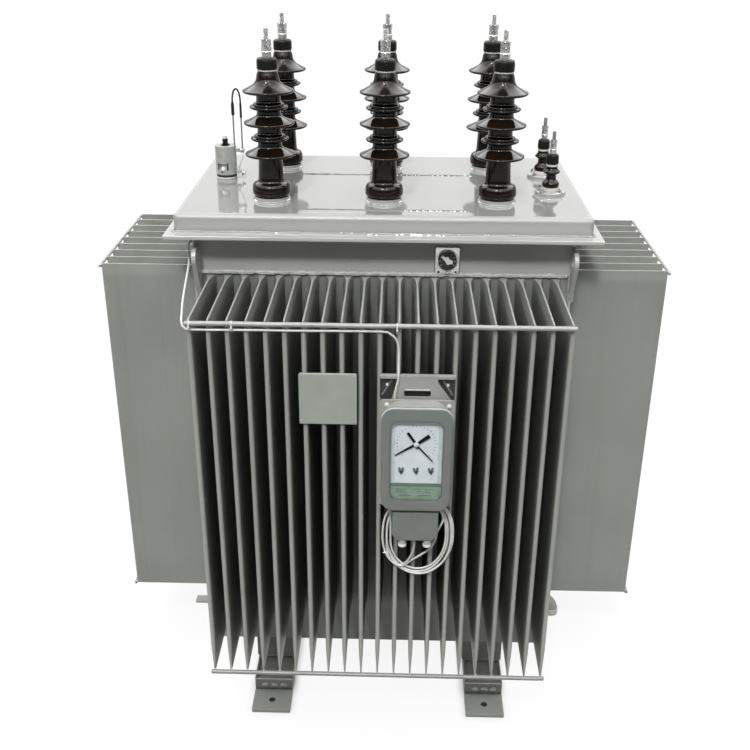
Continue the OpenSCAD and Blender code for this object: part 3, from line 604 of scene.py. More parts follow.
def band_and_rim():
    """Band under the rim, the rim and the lid's flange, with their welds"""
    inner = rounded(2 * WALL_X - 12, 2 * WALL_Y - 12, 3)
    for name, slot, paint, node, corner, bevel in (
            ("top_band", "tank_paint", BAND, "upper_band", 4, 0.6),
            ("rim_plate", "tank_paint", PAINT, "rim_flange", 8, 1.2),
            ("lid_edge", "lid_paint", LIT_LID_EDGE, "lid_flange", 6, 2.2)):
        lo, hi = box(node)
        piece = Piece(name, slot, [paint], [node])
        piece.slab(rounded(2 * hi.x, 2 * hi.y, corner), hi.z - lo.z, shift(0, 0, lo.z), 0,
                   [inner], bevel)
        piece.build()
    welds = Piece("band_welds", "tank_paint", [LIT_WELD_PAINT])
    z, foot = BAND_LO.z - 1, box("panel_front")[0].z + 4
    for s in (-1, 1):
        y = s * (WALL_Y + 1.5)
        bead(welds, (14 - WALL_X, y, z), (WALL_X - 14, y, z), 5.4)
        for _ in range(14):
            x = rng.uniform(-WALL_X, WALL_X) * 0.95
            blob(welds, (x, s * (WALL_Y + 3), z + rng.uniform(-2, 3)), rng.uniform(3.4, 5.6))
    for s in (-1, 1):
        x = s * (WALL_X + 1.5)
        bead(welds, (x, 14 - WALL_Y, z), (x, WALL_Y - 14, z), 4.2)
    for sx, sy in CORNERS:
        x, y = sx * (WALL_X - 1), sy * (WALL_Y - 1)
        bead(welds, (x, y, foot), (x, y, BAND_LO.z), 2.6, step=12)
    welds.build()


def lid():
    """Pressed lid with rounded edges, a weld round its foot and two seams on top"""
    lo, hi = box("lid_box")
    piece = Piece("lid_pressing", "lid_paint", [LID, LIT_WELD_PAINT, SEAM, FITTING, BRIGHT, LID_ROUND],
                  ["lid_box"])
    bm = cube(lo, hi)
    edges = [e for e in bm.edges if max(v.co.z for v in e.verts) > hi.z - 0.001]
    round_edges(bm, edges, 14, 8)
    bm.normal_update()
    # the rounded edges are painted duller than the flat faces
    mats = [0 if max(map(abs, f.normal)) > 0.999 else 5 for f in bm.faces]
    piece.take(bm)
    piece.index = mats
    for x, y in ((250, 88), (216, -279)):
        bead(piece, (-x, y, hi.z), (x, y, hi.z), 2.4, 2, step=8, n=7)
        # drops along the seams in bright zinc: painted glints
        for _ in range(26):
            blob(piece, (rng.uniform(-50 if y > 0 else 50, x), y - 3, hi.z), rng.uniform(1.6, 3),
                 4)
    x, y, z = hi.x + 2, hi.y + 2, lo.z + 1
    for s in (-1, 1):
        bead(piece, (-x, s * y, z), (x, s * y, z), 3, 3, step=9, n=7)
        bead(piece, (s * x, -y, z), (s * x, y, z), 3, 3, step=9, n=7)
        for _ in range(9):
            blob(piece, (rng.uniform(-x, x), s * (y + 1), z + 1), rng.uniform(2.6, 4.2), 1)
    # lumps on the flange in bright zinc, painted glints, most of them right of the middle
    for x0, x1, count in ((20, 165, 16), (-40, -12, 4), (-270, -258, 2)):
        for _ in range(count):
            blob(piece, (rng.uniform(x0, x1), -(y + rng.uniform(1, 9)), z), rng.uniform(2.2, 4.6),
                 4)
    piece.build()


def lugs():
    """Lifting lugs that stand on the front and rear walls at the corners"""
    lo, hi = box("lifting_lugs")
    piece = Piece("lugs", "tank_paint", [LIT_LUG_PAINT, LIT_WELD_PAINT], ["lifting_lugs"])
    nose = (hi.y - 28, hi.z - 28)
    shape = [(WALL_Y, lo.z), (WALL_Y, hi.z), (nose[0], hi.z)] + arc(*nose, 28, 90, -25, 10)
    for sx, sy in CORNERS:
        x, y = sx * (WALL_X - 12) + (5 if sy < 0 else 0), sy * (WALL_Y + 1.5)
        place = Matrix(((0, 0, sx, x), (sy, 0, 0, 0), (0, 1, 0, 0), (0, 0, 0, 1)))
        piece.slab(shape, 12, place, 0, [circle(*nose, 14, 28)], 1.6)
        for edge in (x, x + sx * 12):
            bead(piece, (edge, y, lo.z + 3), (edge, y, hi.z - 3), 2.4, 1)
    piece.build()


band_and_rim()
lid()
lugs()


# ---- bushings and their terminals ----

def collar_profile(r, h, c):
    return [(0, 0), (r - 6, 0), (r - 2.2, 1.2), (r - 0.6, 4), (r, 8), (r, h * 0.45),
            (r - 0.4, h * 0.62), (r - 1.6, h * 0.76), (r - 4, h * 0.88), (r - 8, h * 0.97),
            (r - 12, h), (c + 4.5, h + 2), (c + 2.6, h + 6), (c + 2, h + 14)]


def shed_profile(z, r, rise, c):
    return [(c, z - 13), (c + 1.2, z - 10), (c + 4, z - 8), (c + 9, z - 7), (r - 8, z - 5.8),
            (r - 5, z - 6.6), (r - 2.4, z - 6.4), (r - 0.7, z - 4.6), (r - 0.05, z - 2.4),
            (r - 0.8, z - 0.6), (r - 3, z + 0.5), (r - 9, z + rise * 0.14),
            ((r + c) / 2, z + rise * 0.38), (c + 7, z + rise * 0.68), (c + 3, z + rise * 0.84),
            (c + 0.8, z + rise), (c, z + rise + 4)]


def bushing_profile(h=322, core=31, wide=65.4, narrow=49):
    tip = h - 52
    out = collar_profile(49.9, 34, core)
    for k in (4, 3, 2, 1):
        r, rise = (narrow, 10) if k % 2 else (wide, 17)
        out += shed_profile(tip - 40 * k, r, rise, core)
    out += shed_profile(tip, wide, 20, core)[:12]
    return out + [(48, tip + 7.6), (41, tip + 11.2), (35, tip + 16), (31, tip + 22),
                  (28.8, tip + 29), (27, h - 12), (24.4, h - 7), (23.6, h)]


def terminal(piece, at, cap_r, cap_h, nut_r, nut_h, stud_r, stud_h, skirt=0, ring=6, ribs=0):
    """Pale ring, black cap, washers, nuts and threaded stud, from the bottom up"""
    low = ring - skirt
    piece.lathe([(cap_r - 2, -skirt), (cap_r - 1.2, 1 - skirt), (cap_r - 1.2, low - 1),
                 (cap_r - 2, low)], at, 1)
    rows = []
    for r, z in ((cap_r - 2, low), (cap_r - 0.4, low + 1.2), (cap_r, low + 3),
                 (cap_r, cap_h * 0.62), (cap_r - 0.6, cap_h * 0.82), (cap_r - 2, cap_h - 2),
                 (cap_r - 4, cap_h - 0.3), (cap_r - 7, cap_h), (nut_r * 0.8, cap_h)):
        row = []
        for a in [2 * pi * k / 72 for k in range(72)]:
            dip = 1 - 0.05 * max(0.0, cos(ribs * a)) ** 4 if ribs else 1
            row.append((r * dip * cos(a), r * dip * sin(a), z))
        rows.append(row)
    piece.grid(rows, 0, shift(*at), closed=True, caps=True)
    top = at + UP * cap_h
    place = shift(*top) @ rot(rng.uniform(0, 1))
    piece.lathe([(nut_r * 0.88, 0), (nut_r * 0.9, 0.4), (nut_r * 0.88, 0.06 * nut_h)], place, 2, 32)
    piece.lathe([(nut_r * 0.94, 0.31 * nut_h), (nut_r, 0.34 * nut_h),
                 (nut_r * 0.94, 0.37 * nut_h)], place, 2, 32)
    for turn, r, h, z in ((0, 0.97, 0.25, 0.06), (0.45, 0.93, 0.30, 0.37),
                          (0.2, 0.97, 0.31, 0.69)):
        hexagon(piece, place @ rot(turn), nut_r * r, nut_h * h, 2, nut_h * z)
    thread(piece, top + UP * nut_h * 0.95, stud_r, stud_h + nut_h * 0.05, 3)


def thread(piece, at, r, h, mat):
    """Threaded stud with a chamfered end"""
    turns = int(h / max(1.4, r * 0.26) * 2)
    profile = [(r * 0.97, 0)] + [(r * (1.0 if k % 2 else 0.86), h * k / turns)
                                 for k in range(1, turns)]
    piece.lathe(profile + [(r * 0.9, h - 0.5), (r * 0.62, h)], at, mat, 24)


def boss(piece, x, y, z0, z1):
    """Raised pad with a gasket on it and a weld round its foot"""
    at, z = (x, y, 0), z0 + 11
    piece.lathe([(47, z0), (47, z - 3), (46.2, z - 1), (44, z)], at, 0, 64)
    piece.lathe([(41, z), (42, z + 1.5), (41, z1)], at, 1)
    piece.tube([(x + 48 * c, y + 48 * s, z0 + 0.8) for c, s in turns(20)], 2.4, 0, 7,
               closed=True)


def main_bushings():
    """Six ribbed bushings and their terminals, and the lid's bosses"""
    bosses = Piece("bosses", "lid_paint", [LID, RUBBER], ["lid_bosses"])
    z0, z1 = [corner.z for corner in box("lid_bosses")]
    for row in ("front", "rear"):
        nuts = Piece("terminals_" + row + "_set", "terminals", [CAP, PALE_RING, ZINC, THREAD],
                     ["terminals_" + row], soft_normals=False)
        for col in ("left", "middle", "right"):
            name = row + "_" + col
            lo, hi = box("bushing_" + name)
            x, y, _ = (lo + hi) / 2
            piece = Piece("porcelain_" + name, "porcelain", [GLAZE], ["bushing_" + name],
                          sharp=60, soft_normals=False)
            piece.lathe(bushing_profile(), shift(x, y, lo.z) @ rot(rng.random()), n=80)
            piece.build()
            boss(bosses, x, y, z0, z1)
            terminal(nuts, Vector((x, y, hi.z)), 26.4, 26, 13.9, 44, 7, 27, skirt=6, ring=4.2)
        nuts.build()
    bosses.lathe([(29, z0), (29.4, z0 + 1), (29.4, z0 + 6.4), (28, z0 + 8)], (*valve_axis(), 0))
    bosses.build()


def valve_axis():
    lo, hi = box("relief_valve")
    return lo.x + VALVE_R, (lo.y + hi.y) / 2


def small_bushings():
    lo, hi = box("small_bushings")
    x, y = (lo.x + hi.x) / 2, hi.y - 42
    piece = Piece("small_porcelain", "porcelain", [GLAZE, LID, PALE_RING, ZINC],
                  ["small_bushings"], sharp=50)
    nuts = Piece("small_terminal_set", "terminals", [CAP, PALE_RING, ZINC, DULL_STEEL],
                 ["small_terminals"], soft_normals=False)
    for s in (-1, 1):
        at = Vector((x, s * y, lo.z))
        piece.lathe([(41.5, 0), (42, 1), (42, 7), (40.5, 9), (38, 10), (0, 10.5)], at, 1, 56)
        piece.lathe([(25, 10), (25.6, 13), (25, 19)], at, 2)
        piece.lathe([(20, 19), (22.4, 20.5), (23, 23), (23, 28), (21.6, 32), (17.5, 36),
                     (14.4, 39), (13.5, 43), (13.5, 50), (15, 53.5), (19.5, 56), (22.5, 58.5),
                     (23, 61), (22, 63), (19, 65), (17.4, 67.5), (15.6, 70), (15.2, 75)],
                    at, 0, 56)
        for k in range(4):
            a = radians(45 + 90 * k)
            place = shift(at.x + 33.5 * cos(a), at.y + 33.5 * sin(a), at.z + 9.8)
            bolt(piece, place @ rot(rng.random()), 5, 4, 3, stud=3)
        terminal(nuts, at + UP * 75, 17, 33, 9.4, 38, 5.2, 22, ribs=12)
    piece.build()
    nuts.build()


# ---- relief valve ----

VALVE_R = 29.5


def relief_valve():
    lo, hi = box("relief_valve")
    vx, vy = valve_axis()
    at, r, z0, top = (vx, vy, 0), VALVE_R, lo.z, lo.z + 87
    piece = Piece("relief_body", "valve_metal",
                  [VALVE, RUBBER, WHITE, CAP, ZINC, SHADE, CLEAR_EDGE], ["relief_valve"])
    piece.lathe([(25, z0), (28.3, z0 + 0.8), (28.6, z0 + 3), (27.6, z0 + 5)], at, 1, 56)
    piece.lathe([(0, z0 + 4.6), (24, z0 + 4.8), (27.5, z0 + 6.4), (29, z0 + 9), (r, z0 + 13),
                 (r, top - 13), (r - 0.5, top - 12), (r - 0.5, top - 11), (r, top - 10),
                 (r, top - 1.6), (r - 0.5, top - 0.5), (r - 1.8, top), (0, top - 1)], at, 0, 64)

    def on_wall(x, z, d):
        """A place on the round wall, x across from its front, with z outward"""
        out = -(r * r - x * x) ** 0.5 - d
        return front(vx + x, vy + out, z) @ rot(asin(x / r), "Y")

    # slots drawn as near black patches, painted shade, over a pale knob, and two bands above them
    for x, z, w, h in ((-17.5, 31, 5, 19), (7.5, 30, 5, 21), (-5, 37, 20, 3), (-11, 33, 3, 9),
                       (-9, 16, 5, 5)):
        piece.slab(rounded(w, h, min(w, h) * 0.4), 0.9, on_wall(x, z0 + z, -0.5), 5, bevel=0.2)
    piece.lathe([(5.2, 0), (5.2, 2.5), (4, 4.6), (0, 5)], on_wall(-4.5, z0 + 25, -1.5), 2, 24)
    for z in (24, 36):
        piece.slab(rounded(22, 2.2, 1), 0.8, on_wall(-4, top - z, -0.4), 0, bevel=0.3)
    # button with a pale crown
    b = top - 1
    piece.lathe([(6.4, b), (7.4, b + 2), (8, b + 4), (8, b + 8), (6.8, b + 9), (6.8, b + 11),
                 (8, b + 12), (8, b + 17.5), (7, b + 18.6), (0, b + 19)], at, 3, 28)
    piece.lathe([(0, b + 18), (5.6, b + 18.4), (5.8, b + 24), (4.6, b + 27.5), (2.4, b + 28.9),
                 (0, b + 29)], at, 6, 24)
    # arm with its bolt, and the stay and clip below it
    arm, az, edge = hi.x, top - 14, vx + r
    piece.block((edge - 3, vy - 5, az - 5), (arm - 7, vy + 5, az + 5), 0, 1.2)
    side = shift(arm - 8, vy, az) @ rot(pi / 2, "Y")
    hexagon(piece, side, 6.5, 7.9, 0)
    piece.lathe([(8, -2), (8, 0)], side, 4, 24)
    piece.tube([(arm - 3, vy - 2, az - 6), (arm - 7, vy - 3, az - 24),
                (edge + 9, vy - 4, az - 44), (edge - 1, vy - 4, az - 50)], 1.8, 6, 8)
    piece.block((edge - 2, vy - 8, z0 + 8), (edge + 12, vy + 6, z0 + 17), 0, 2)
    piece.block((edge + 2, vy - 5, z0 + 17), (edge + 9, vy + 3, z0 + 27), 6, 2)
    bolt(piece, shift(edge + 16, vy - 3, z0 + 9) @ rot(pi / 2, "Y"), 6, 6, 4)
    piece.build()


def pull_loop():
    """Wire legs under a black tube that is thicker on one side"""
    lo, hi = box("pull_loop")
    x0, x1, y, top = lo.x + 3, hi.x - 3, (lo.y + hi.y) / 2, hi.z - 2
    spring, mid, half = top - 33, (x0 + x1) / 2, (x1 - x0) / 2
    piece = Piece("loop", "black_sleeve", [RUBBER, SKID], ["pull_loop"])
    arch = [(mid - half * cos(pi * k / 20), y, spring + (top - spring) * sin(pi * k / 20))
            for k in range(21)]
    for x, z, rise, end in ((x0, lo.z, 30, 34), (x1, lo.z - 9, 40, 30)):
        piece.tube([(x, y, z), (x, y, z + rise), (x, y, spring - end)], 2.1, 1)
    piece.tube([(x0, y, spring - 34), *arch, (x1, y, spring - 42)], 2.4, 0, 12)
    piece.tube([(x0, y, spring - d) for d in (39, 36, 10, 2)], [3.0, 4.4, 4.4, 2.8], 0, 14)
    piece.tube([(x1, y, spring - d) for d in (46, 43, 5)], [2.6, 3.3, 2.9], 0, 12)
    piece.build()


main_bushings()
small_bushings()
relief_valve()
pull_loop()


# ---- fittings on the front ----

def oil_gauge():
    x, z, w, h, _, back = front_of("oil_gauge")
    piece = Piece("level_gauge", "gauge", [SILVER, BLACK, WHITE, SHADE], ["oil_gauge"])
    # a near black backing, a little larger than the plate: painted shade in the gap round it
    piece.slab(rounded(w, h, 4), 3, front(x, back, z), 3, bevel=0.8)
    piece.slab(rounded(w - 3, h - 2.4, 4), 2.4, front(x, back - 3, z + 1), 0, bevel=0.8)
    piece.slab(rounded(w - 3.6, h - 3, 4), 2.6, front(x, back - 5, z + 1), 0,
               [circle(0, 3, 28, 40)], 0.8)
    dial = front(x, back - 5, z + 4)
    piece.lathe([(24.6, 0), (24.6, 11), (23.8, 13), (22.4, 13), (22.2, 9)], dial, 1)
    piece.lathe([(22, 8.8), (22, 9.4)], dial, 3, 40)
    pointer = [(-18, 10), (-14, 16), (-5, 9), (1, 12), (5, 4), (14, 0), (13, -9), (7, -8),
               (2, -11), (-3, -8), (-5, -2), (-9, 2)]
    piece.slab(pointer, 1.4, dial @ shift(0, 0, 10), 2, bevel=0.4)
    piece.lathe([(0, 11), (3.4, 11), (3, 12.4), (0, 12.8)], dial, 2, 20)
    for k in range(9):
        a = radians(215 - 250 * k / 8)
        piece.block((-1.6, -0.45, 0), (1.6, 0.45, 0.5), 2, 0.1, 1,
                    dial @ shift(19.6 * cos(a), 19.6 * sin(a), 9.2) @ rot(a))
    for dx, dz, r, mat in ((-22, -29, 3.4, 3), (22, -29, 3.4, 3), (0, -30, 4.4, 2),
                           (10, -29.5, 4.4, 2)):
        screw(piece, front(x + dx, back - 7.4, z + dz), r, mat)
    piece.build()


def blank_plate():
    """Plate with a turned rim and a screw in each corner"""
    lo, hi = box("blank_plate")
    x, z, w, h, near, back = front_of("blank_plate")
    piece = Piece("tray_plate", "plate_metal", [PLATE, SHADE], ["blank_plate"])
    piece.slab(rounded(w - 0.4, h - 0.4, 3), 2, front(x, near + 2, z), 0, bevel=0.7)
    for s in (-1, 1):
        level, edge = z + s * (h / 2 - 1), x + s * (w / 2 - 1.2)
        piece.block((lo.x + 2, near + 0.6, level - 1), (hi.x - 2, back, level + 1), 0, 0.6)
        piece.block((edge - 1, near + 0.8, lo.z + 3), (edge + 1, back - 0.5, hi.z - 3), 0, 0.6)
        for t in (-1, 1):
            screw(piece, front(x + s * (w / 2 - 7), near + 0.8, z + t * (h / 2 - 7)), 2.6, 0,
                  dark=1)
    piece.build()


# ---- thermometer ----

def bracket():
    lo, hi = box("thermometer_bracket")
    x, z, w, h, _, back = front_of("thermometer_bracket")
    case_hi = box("thermometer_case")[1]
    top, lip, mid = hi.z, back - 15, hi.z - 46
    piece = Piece("case_bracket", "tank_paint", [FITTING, BRIGHT, SHADE, SKID],
                  ["thermometer_bracket"])
    # the back plate is near black: painted shade behind the apron and its slot
    piece.slab(rounded(w, h, 2), 3, front(x, back, z), 2)
    piece.block((lo.x, lip, top - 3), (hi.x, back, top))
    piece.block((lo.x + 1, lip, top - 8), (hi.x - 1, lip + 2, top - 1), 0, 0.9)
    # apron that hangs from the lip, with a slot to grip under a rolled edge
    apron = [(-50, -16), (-62, -58), (-62, -66), (80, -66), (80, -58), (50, -16), (45, 3),
             (-45, 3)]
    piece.slab(apron, 2.6, front(x, lip + 3, top - 3), 0, [rounded(64, 16, 5, 0, -43)])
    piece.tube([(x - 32, lip + 1.6, mid + 7), (x - 29, lip + 0.6, mid + 9.5),
                (x + 29, lip + 0.6, mid + 9.5), (x + 32, lip + 1.6, mid + 7)],
               [1, 2.6, 2.6, 1], 0)
    for s in (-1, 1):
        edge = x + s * (w / 2 - 1.5)
        piece.block((edge - 1.5, case_hi.y, lo.z + 1), (edge + 1.5, back, case_hi.z - 8), 3, 0.8)
        bolt(piece, front(x + s * 72, back - 3, top - 28), 2.4, 3.4, 1)
        piece.tube([(x + s * 58, back - 4, top - 10), (x + s * 84, back - 4, top - 54)], 2.4, 3,
                   8)
    piece.build()


def case():
    x, z, w, h, face, back = front_of("thermometer_case")
    _, win_z, win_w, win_h, _, _ = front_of("thermometer_window")
    piece = Piece("case_body", "case_plastic", [CASE, FITTING, BRIGHT, LIT_LUG_PAINT],
                  ["thermometer_case"])
    piece.slab(rounded(w, h, 9), 4, front(x, back, z), 1, bevel=1)
    # body below a lid whose edge stands proud, with a pale tube along its front edge: a painted
    # highlight on the rim
    w, h, mid = 168, h - 12, z + 6
    piece.slab(rounded(w, h - 1, 50, n=8), back - face - 18, front(x, back - 4, mid), 1, bevel=2)
    piece.slab(rounded(w, h - 1, 30, n=8), 14, front(x, face + 14, mid), 0,
               [rounded(win_w, win_h, 20, 0, win_z - mid, n=8)], 3.2)
    rim = arc(30 - w / 2, h / 2 - 30, 30, 178, 90, 7) + arc(w / 2 - 30, h / 2 - 30, 30, 90, 2, 7)
    piece.tube([(x + a, face + 4, mid + b - 1.5) for a, b in rim],
               [0.8] + [2.4] * (len(rim) - 2) + [0.8], 3, 8)
    for dx, dz in ((-73, h / 2 - 13), (76, h / 2 - 15), (-80, 3 - h / 2), (80, 1 - h / 2)):
        bolt(piece, front(x + dx, back - 4, mid + dz), 3.2, 4.6, 2)
    piece.build()


def dial():
    x, z, w, h, _, back = front_of("thermometer_dial")
    piece = Piece("dial_card", "dial_face", [CARD, GREEN, DARK_GREEN, INK, CLEAR_EDGE, KNOB],
                  ["thermometer_dial"])
    piece.slab(rounded(w, h, 20, n=8), 2, front(x, back, z), 0, bevel=0.3)
    top = front(x, back - 2, z)
    # raised border, wider at the head, as the card's cover is dished
    piece.slab(rounded(w - 1, h - 1, 19, n=8), 1.6, top, 4,
               [rounded(w - 22, h - 20, 16, 0, -2, n=8)], 0.7)
    # green strip with plain bars at the foot, under a dark line
    edge, foot = w / 2 - 0.4, -h / 2
    strip = arc(20 - edge, foot + 20, 19.8, 180, 270, 8)
    strip += arc(edge - 20, foot + 20, 19.8, 270, 360, 8)
    piece.slab(strip + [(edge, foot + 38), (-edge, foot + 38)], 2.2, top, 1, bevel=0.3)
    piece.slab([(-edge, foot + 37), (edge, foot + 37), (edge, foot + 46), (-edge, foot + 46)],
               2.4, top, 2, bevel=0.3)
    for bx, bz, long in ((-36, 29, 26), (-38, 22, 16), (2, 30, 20), (8, 23, 12), (34, 29, 22),
                         (30, 22, 14), (-26, 12, 30), (22, 12, 30)):
        piece.block((bx - long / 2, foot + bz - 1.2, 2), (bx + long / 2, foot + bz + 1.2, 2.5),
                    2, 0.1, 1, top)
    # scale marks and four pointers on one hub
    hub = top @ shift(-1, 46.5, 0)
    for k in range(25):
        half = 2 if k % 4 else 3.5
        piece.block((47 - half, -0.45, 0), (47 + half, 0.45, 0.4), 3, 0.1, 1,
                    hub @ rot(radians(225 - 270 * k / 24)))
    for dx, dz, w0, w1, lift, mat in ((31, 24, 3.22, 5.18, 5, 3), (-21, 31, 3.08, 3.5, 4, 3),
                                      (-51, -32, 3.78, 1.54, 3, 3), (40, -45, 2.38, 1.33, 6, 3),
                                      (3, -14, 3.08, 4.2, 2, 5)):
        tip = hypot(dx, dz)
        piece.slab([(-4, -w0), (tip, -w1), (tip, w1), (-4, w0)], 0.7,
                   hub @ rot(atan2(dz, dx)) @ shift(0, 0, lift), mat, bevel=0.2)
    piece.lathe([(6.4, 0), (6.2, 6.6), (4, 7.6), (0, 7.8)], hub, 0, 28)
    # three grey knobs with a dark mark
    knob = [(-7, 9), (-3, 10), (0, 4), (3, 10), (7, 9), (6.5, 0), (1.5, -9), (-1.5, -9),
            (-6.5, 0)]
    for dx in (-36, 0, 36):
        m = top @ shift(dx, -29, 0) @ rot(0.3 * rng.random())
        piece.slab(knob, 3, m, 5)
        piece.slab([(-3.4, 2), (0, -6), (3.4, 2), (0, 0)], 3.6, m, 3, bevel=0.3)
    piece.build()


def window():
    """Clear pane in a frame"""
    x, z, w, h, _, back = front_of("thermometer_window")
    piece = Piece("window_pane", "window_glass", [CLEAR, CASE], ["thermometer_window"])
    at = front(x, back, z)
    piece.slab(rounded(w - 3, h - 3, 18.5, n=8), 2.4, at)
    piece.slab(rounded(w, h, 20, n=8), 3, at, 1, [rounded(w - 3.2, h - 3.2, 18.4, n=8)])
    piece.build()


def terminal_box():
    lo, hi = box("terminal_box")
    x, _, w, h, near, back = front_of("terminal_box")
    h -= 9
    piece = Piece("wiring_box", "case_plastic", [CASE, SHADE], ["terminal_box"])
    shape = [(14 - w / 2, -h / 2), (w / 2 - 14, -h / 2)]
    for cx, cy, r, a0, a1, n in ((w / 2 - 9, 18 - h / 2, 9, -30, 0, 4),
                                 (w / 2 - 3, h / 2 - 3, 3, 0, 90, 3),
                                 (3 - w / 2, h / 2 - 3, 3, 90, 180, 3),
                                 (9 - w / 2, 18 - h / 2, 9, 180, 210, 4)):
        shape += arc(cx, cy, r, a0, a1, n)
    piece.slab(shape, back - near, front(x, back, lo.z + h / 2), 0, bevel=2.6)
    # a near black block under the case: painted shade in the gap above the box
    piece.block((lo.x + 3, near + 3, hi.z - 9.4), (hi.x - 3, back - 3, hi.z), 1, 0.4)
    # two near black cups under the box: painted shade
    for dx in (-10, 13):
        piece.lathe([(6.5, 0), (7, -3), (6, -9), (0, -10)],
                    (x + dx, (near + back) / 2 + 4, lo.z + 1), 1, 18)
    piece.build()


def glands():
    """Two short glands with pale caps, and the tube's socket on the end wall"""
    box_lo, box_hi = box("terminal_box")
    lo, hi = box("cable_glands")
    x, y, _ = (box_lo + box_hi) / 2
    piece = Piece("gland_set", "gland_plastic", [GLAND, TIE, ZINC], ["cable_glands"])
    for s in (-1, 1):
        at = shift(x + s * 31, y - 6, box_lo.z - 22)
        hexagon(piece, at, 10.8, 9, 0, 11)
        piece.lathe([(8.4, 6.6), (9.4, 8.5), (9.4, 11.6)], at, 0, 32)
        piece.lathe([(9.4, 0), (10.6, 1), (10.8, 6), (10.2, 7.6), (0, 7.8)], at, 1, 32)
    socket = shift(-WALL_X, hi.y - 11, hi.z - 11) @ rot(-pi / 2, "Y")
    hexagon(piece, socket, 10.9, 7, 2, 0.5)
    piece.lathe([(8, 7), (8.4, 8), (7.6, 12), (5, 14)], socket, 2, 28)
    piece.build()


for make in (oil_gauge, blank_plate, bracket, case, dial, window, terminal_box, glands):
    make()


# ---- skids, feet and end fittings ----

def channel(piece, x, half, lo, hi):
    """Channel along y with its web up, its sides down and its ends closed"""
    piece.block((x - half, lo.y, hi.z - 14), (x + half, hi.y, hi.z - 7), 0, 2.4, 3)
    for s in (-1, 1):
        side, end = x + s * (half - 3.2), s * (hi.y - 3.4)
        piece.block((side - 3, lo.y + 0.5, lo.z), (side + 3, hi.y - 0.5, hi.z), 0, 1.2)
        piece.block((x - half + 1, end - 3, lo.z + 1), (x + half - 1, end + 3, hi.z), 0, 1.4)


def base():
    """Bearers on skids on foot plates, with their welds and bolt holes"""
    skid_lo, skid_hi = box("skids")
    bear_lo, bear_hi = box("bearers")
    foot_lo, foot_hi = box("foot_plates")
    skids = Piece("skid_channels", "tank_paint", [SKID, FITTING, SHADE], ["skids"])
    bearers = Piece("bearer_channels", "tank_paint", [SKID], ["bearers"])
    feet = Piece("feet", "tank_paint", [SHADED_TANK_PAINT, SHADE], ["foot_plates"])
    half, top = 57, foot_hi.z
    for sx in (-1, 1):
        x = sx * (skid_hi.x - half)
        channel(skids, x, half, skid_lo, skid_hi)
        channel(bearers, x, half + 4, bear_lo, bear_hi)
        for sy in (-1, 1):
            y = sy * (bear_hi.y + 1.2)
            bead(bearers, (x - half, y, bear_lo.z + 1), (x + half, y, bear_lo.z + 1), 2.6,
                 step=6.2)
            y = sy * (skid_hi.y + 0.6)
            # along each skid end, a lighter bead at the top is a painted highlight and a near black
            # bead at the foot is painted shade
            for z, r, mat in ((skid_hi.z - 2, 2, 1), (top + 3, 3, 2)):
                bead(skids, (x - half + 2, y, z), (x + half - 2, y, z), r, mat)
            # lumps of weld where the skid's end stands on its foot plate
            for dx in (-26, 3, 30):
                path = [(x + dx + t, y, top + 15 + 3 * sin(pi * (t + 8) / 16))
                        for t in range(-8, 9, 2)]
                feet.tube(path, [rng.uniform(5.4, 7.4) * (0.6 + 0.4 * sin(pi * (i + 1) / 10))
                                 for i in range(9)], 0, 8)
            # the bolt hole, lined with a near black sleeve closed at the bottom: painted shade
            # inside it
            y = sy * (foot_hi.y - 43)
            feet.lathe([(9.9, 0.4), (9.9, top - 1.6), (9.3, top - 1.6), (9.3, 1)], (x, y, 0), 1,
                       28)
            plate = rounded(2 * half, 160, 4, x, sy * (foot_hi.y - 80))
            feet.slab(plate, top, shift(0, 0, 0), 0, [circle(x, y, 10, 28)], 1.1)
    for piece in (skids, bearers, feet):
        piece.build()


def drain():
    """Elbow on the right end wall, with a socket at its lower end in the lighter lug paint, a
    painted highlight
    """
    lo, hi = box("drain_elbow")
    y, foot = (lo.y + hi.y) / 2, lo.z + 5
    x, z = WALL_X + 34, foot + 22
    piece = Piece("drain_pipe", "tank_paint", [SHADED_TANK_PAINT, LIT_WELD_PAINT, LIT_LUG_PAINT, SHADE],
                  ["drain_elbow"])
    bend = [radians(a) for a in range(0, 91, 6)]
    piece.tube([(WALL_X + 34 * sin(a), y, z - 6 + 34 * cos(a)) for a in bend], 19.2, 0, 32)
    # the socket's lower end is closed by a near black disc: painted shade in the pipe's mouth
    piece.lathe([(18.6, foot), (20.4, foot + 1.4)], (x, y, 0), 3, 40, (True, False))
    piece.lathe([(20.4, foot + 1.4), (20.9, foot + 3), (20.9, z - 2), (20.3, z)], (x, y, 0), 2,
                40, (False, True))
    piece.tube([(WALL_X + 1.5, y + 20 * c, z + 28 + 20 * s) for c, s in turns(24)], 2.6, 1, 6,
               closed=True)
    piece.build()


def earth_tab():
    """Flat bar on the left end wall, for the earth connection"""
    lo, hi = box("earth_plate")
    piece = Piece("earth_tab", "tank_paint", [FITTING, LIT_WELD_PAINT, SKID], ["earth_plate"])
    x0, y0, z0, z1 = lo.x - 3, lo.y, lo.z + 4, hi.z + 4
    piece.slab(rounded(hi.x - x0, hi.y - y0, 3, (x0 + hi.x) / 2, (y0 + hi.y) / 2), z1 - z0,
               shift(0, 0, z0), 0, bevel=0.8)
    # a dark strip along the front edge: painted shade
    piece.block((x0 + 1, y0 - 0.4, z0 + 0.4), (hi.x - 1, y0 + 2, z1 - 0.6), 2, 0.3)
    for z in (z0, z1):
        bead(piece, (-WALL_X - 1.4, y0 + 2, z), (-WALL_X - 1.4, hi.y - 2, z), 2, 1)
    piece.build()


base()
drain()
earth_tab()
# the walls between the folds take the darker copy of the tank paint: painted shade
for node in ("tank_bottom", "panel_front", "panel_rear", "panel_left", "panel_right"):
    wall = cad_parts[node]
    wall.data.materials.clear()
    wall.data.materials.append(SHADED_TANK_PAINT)


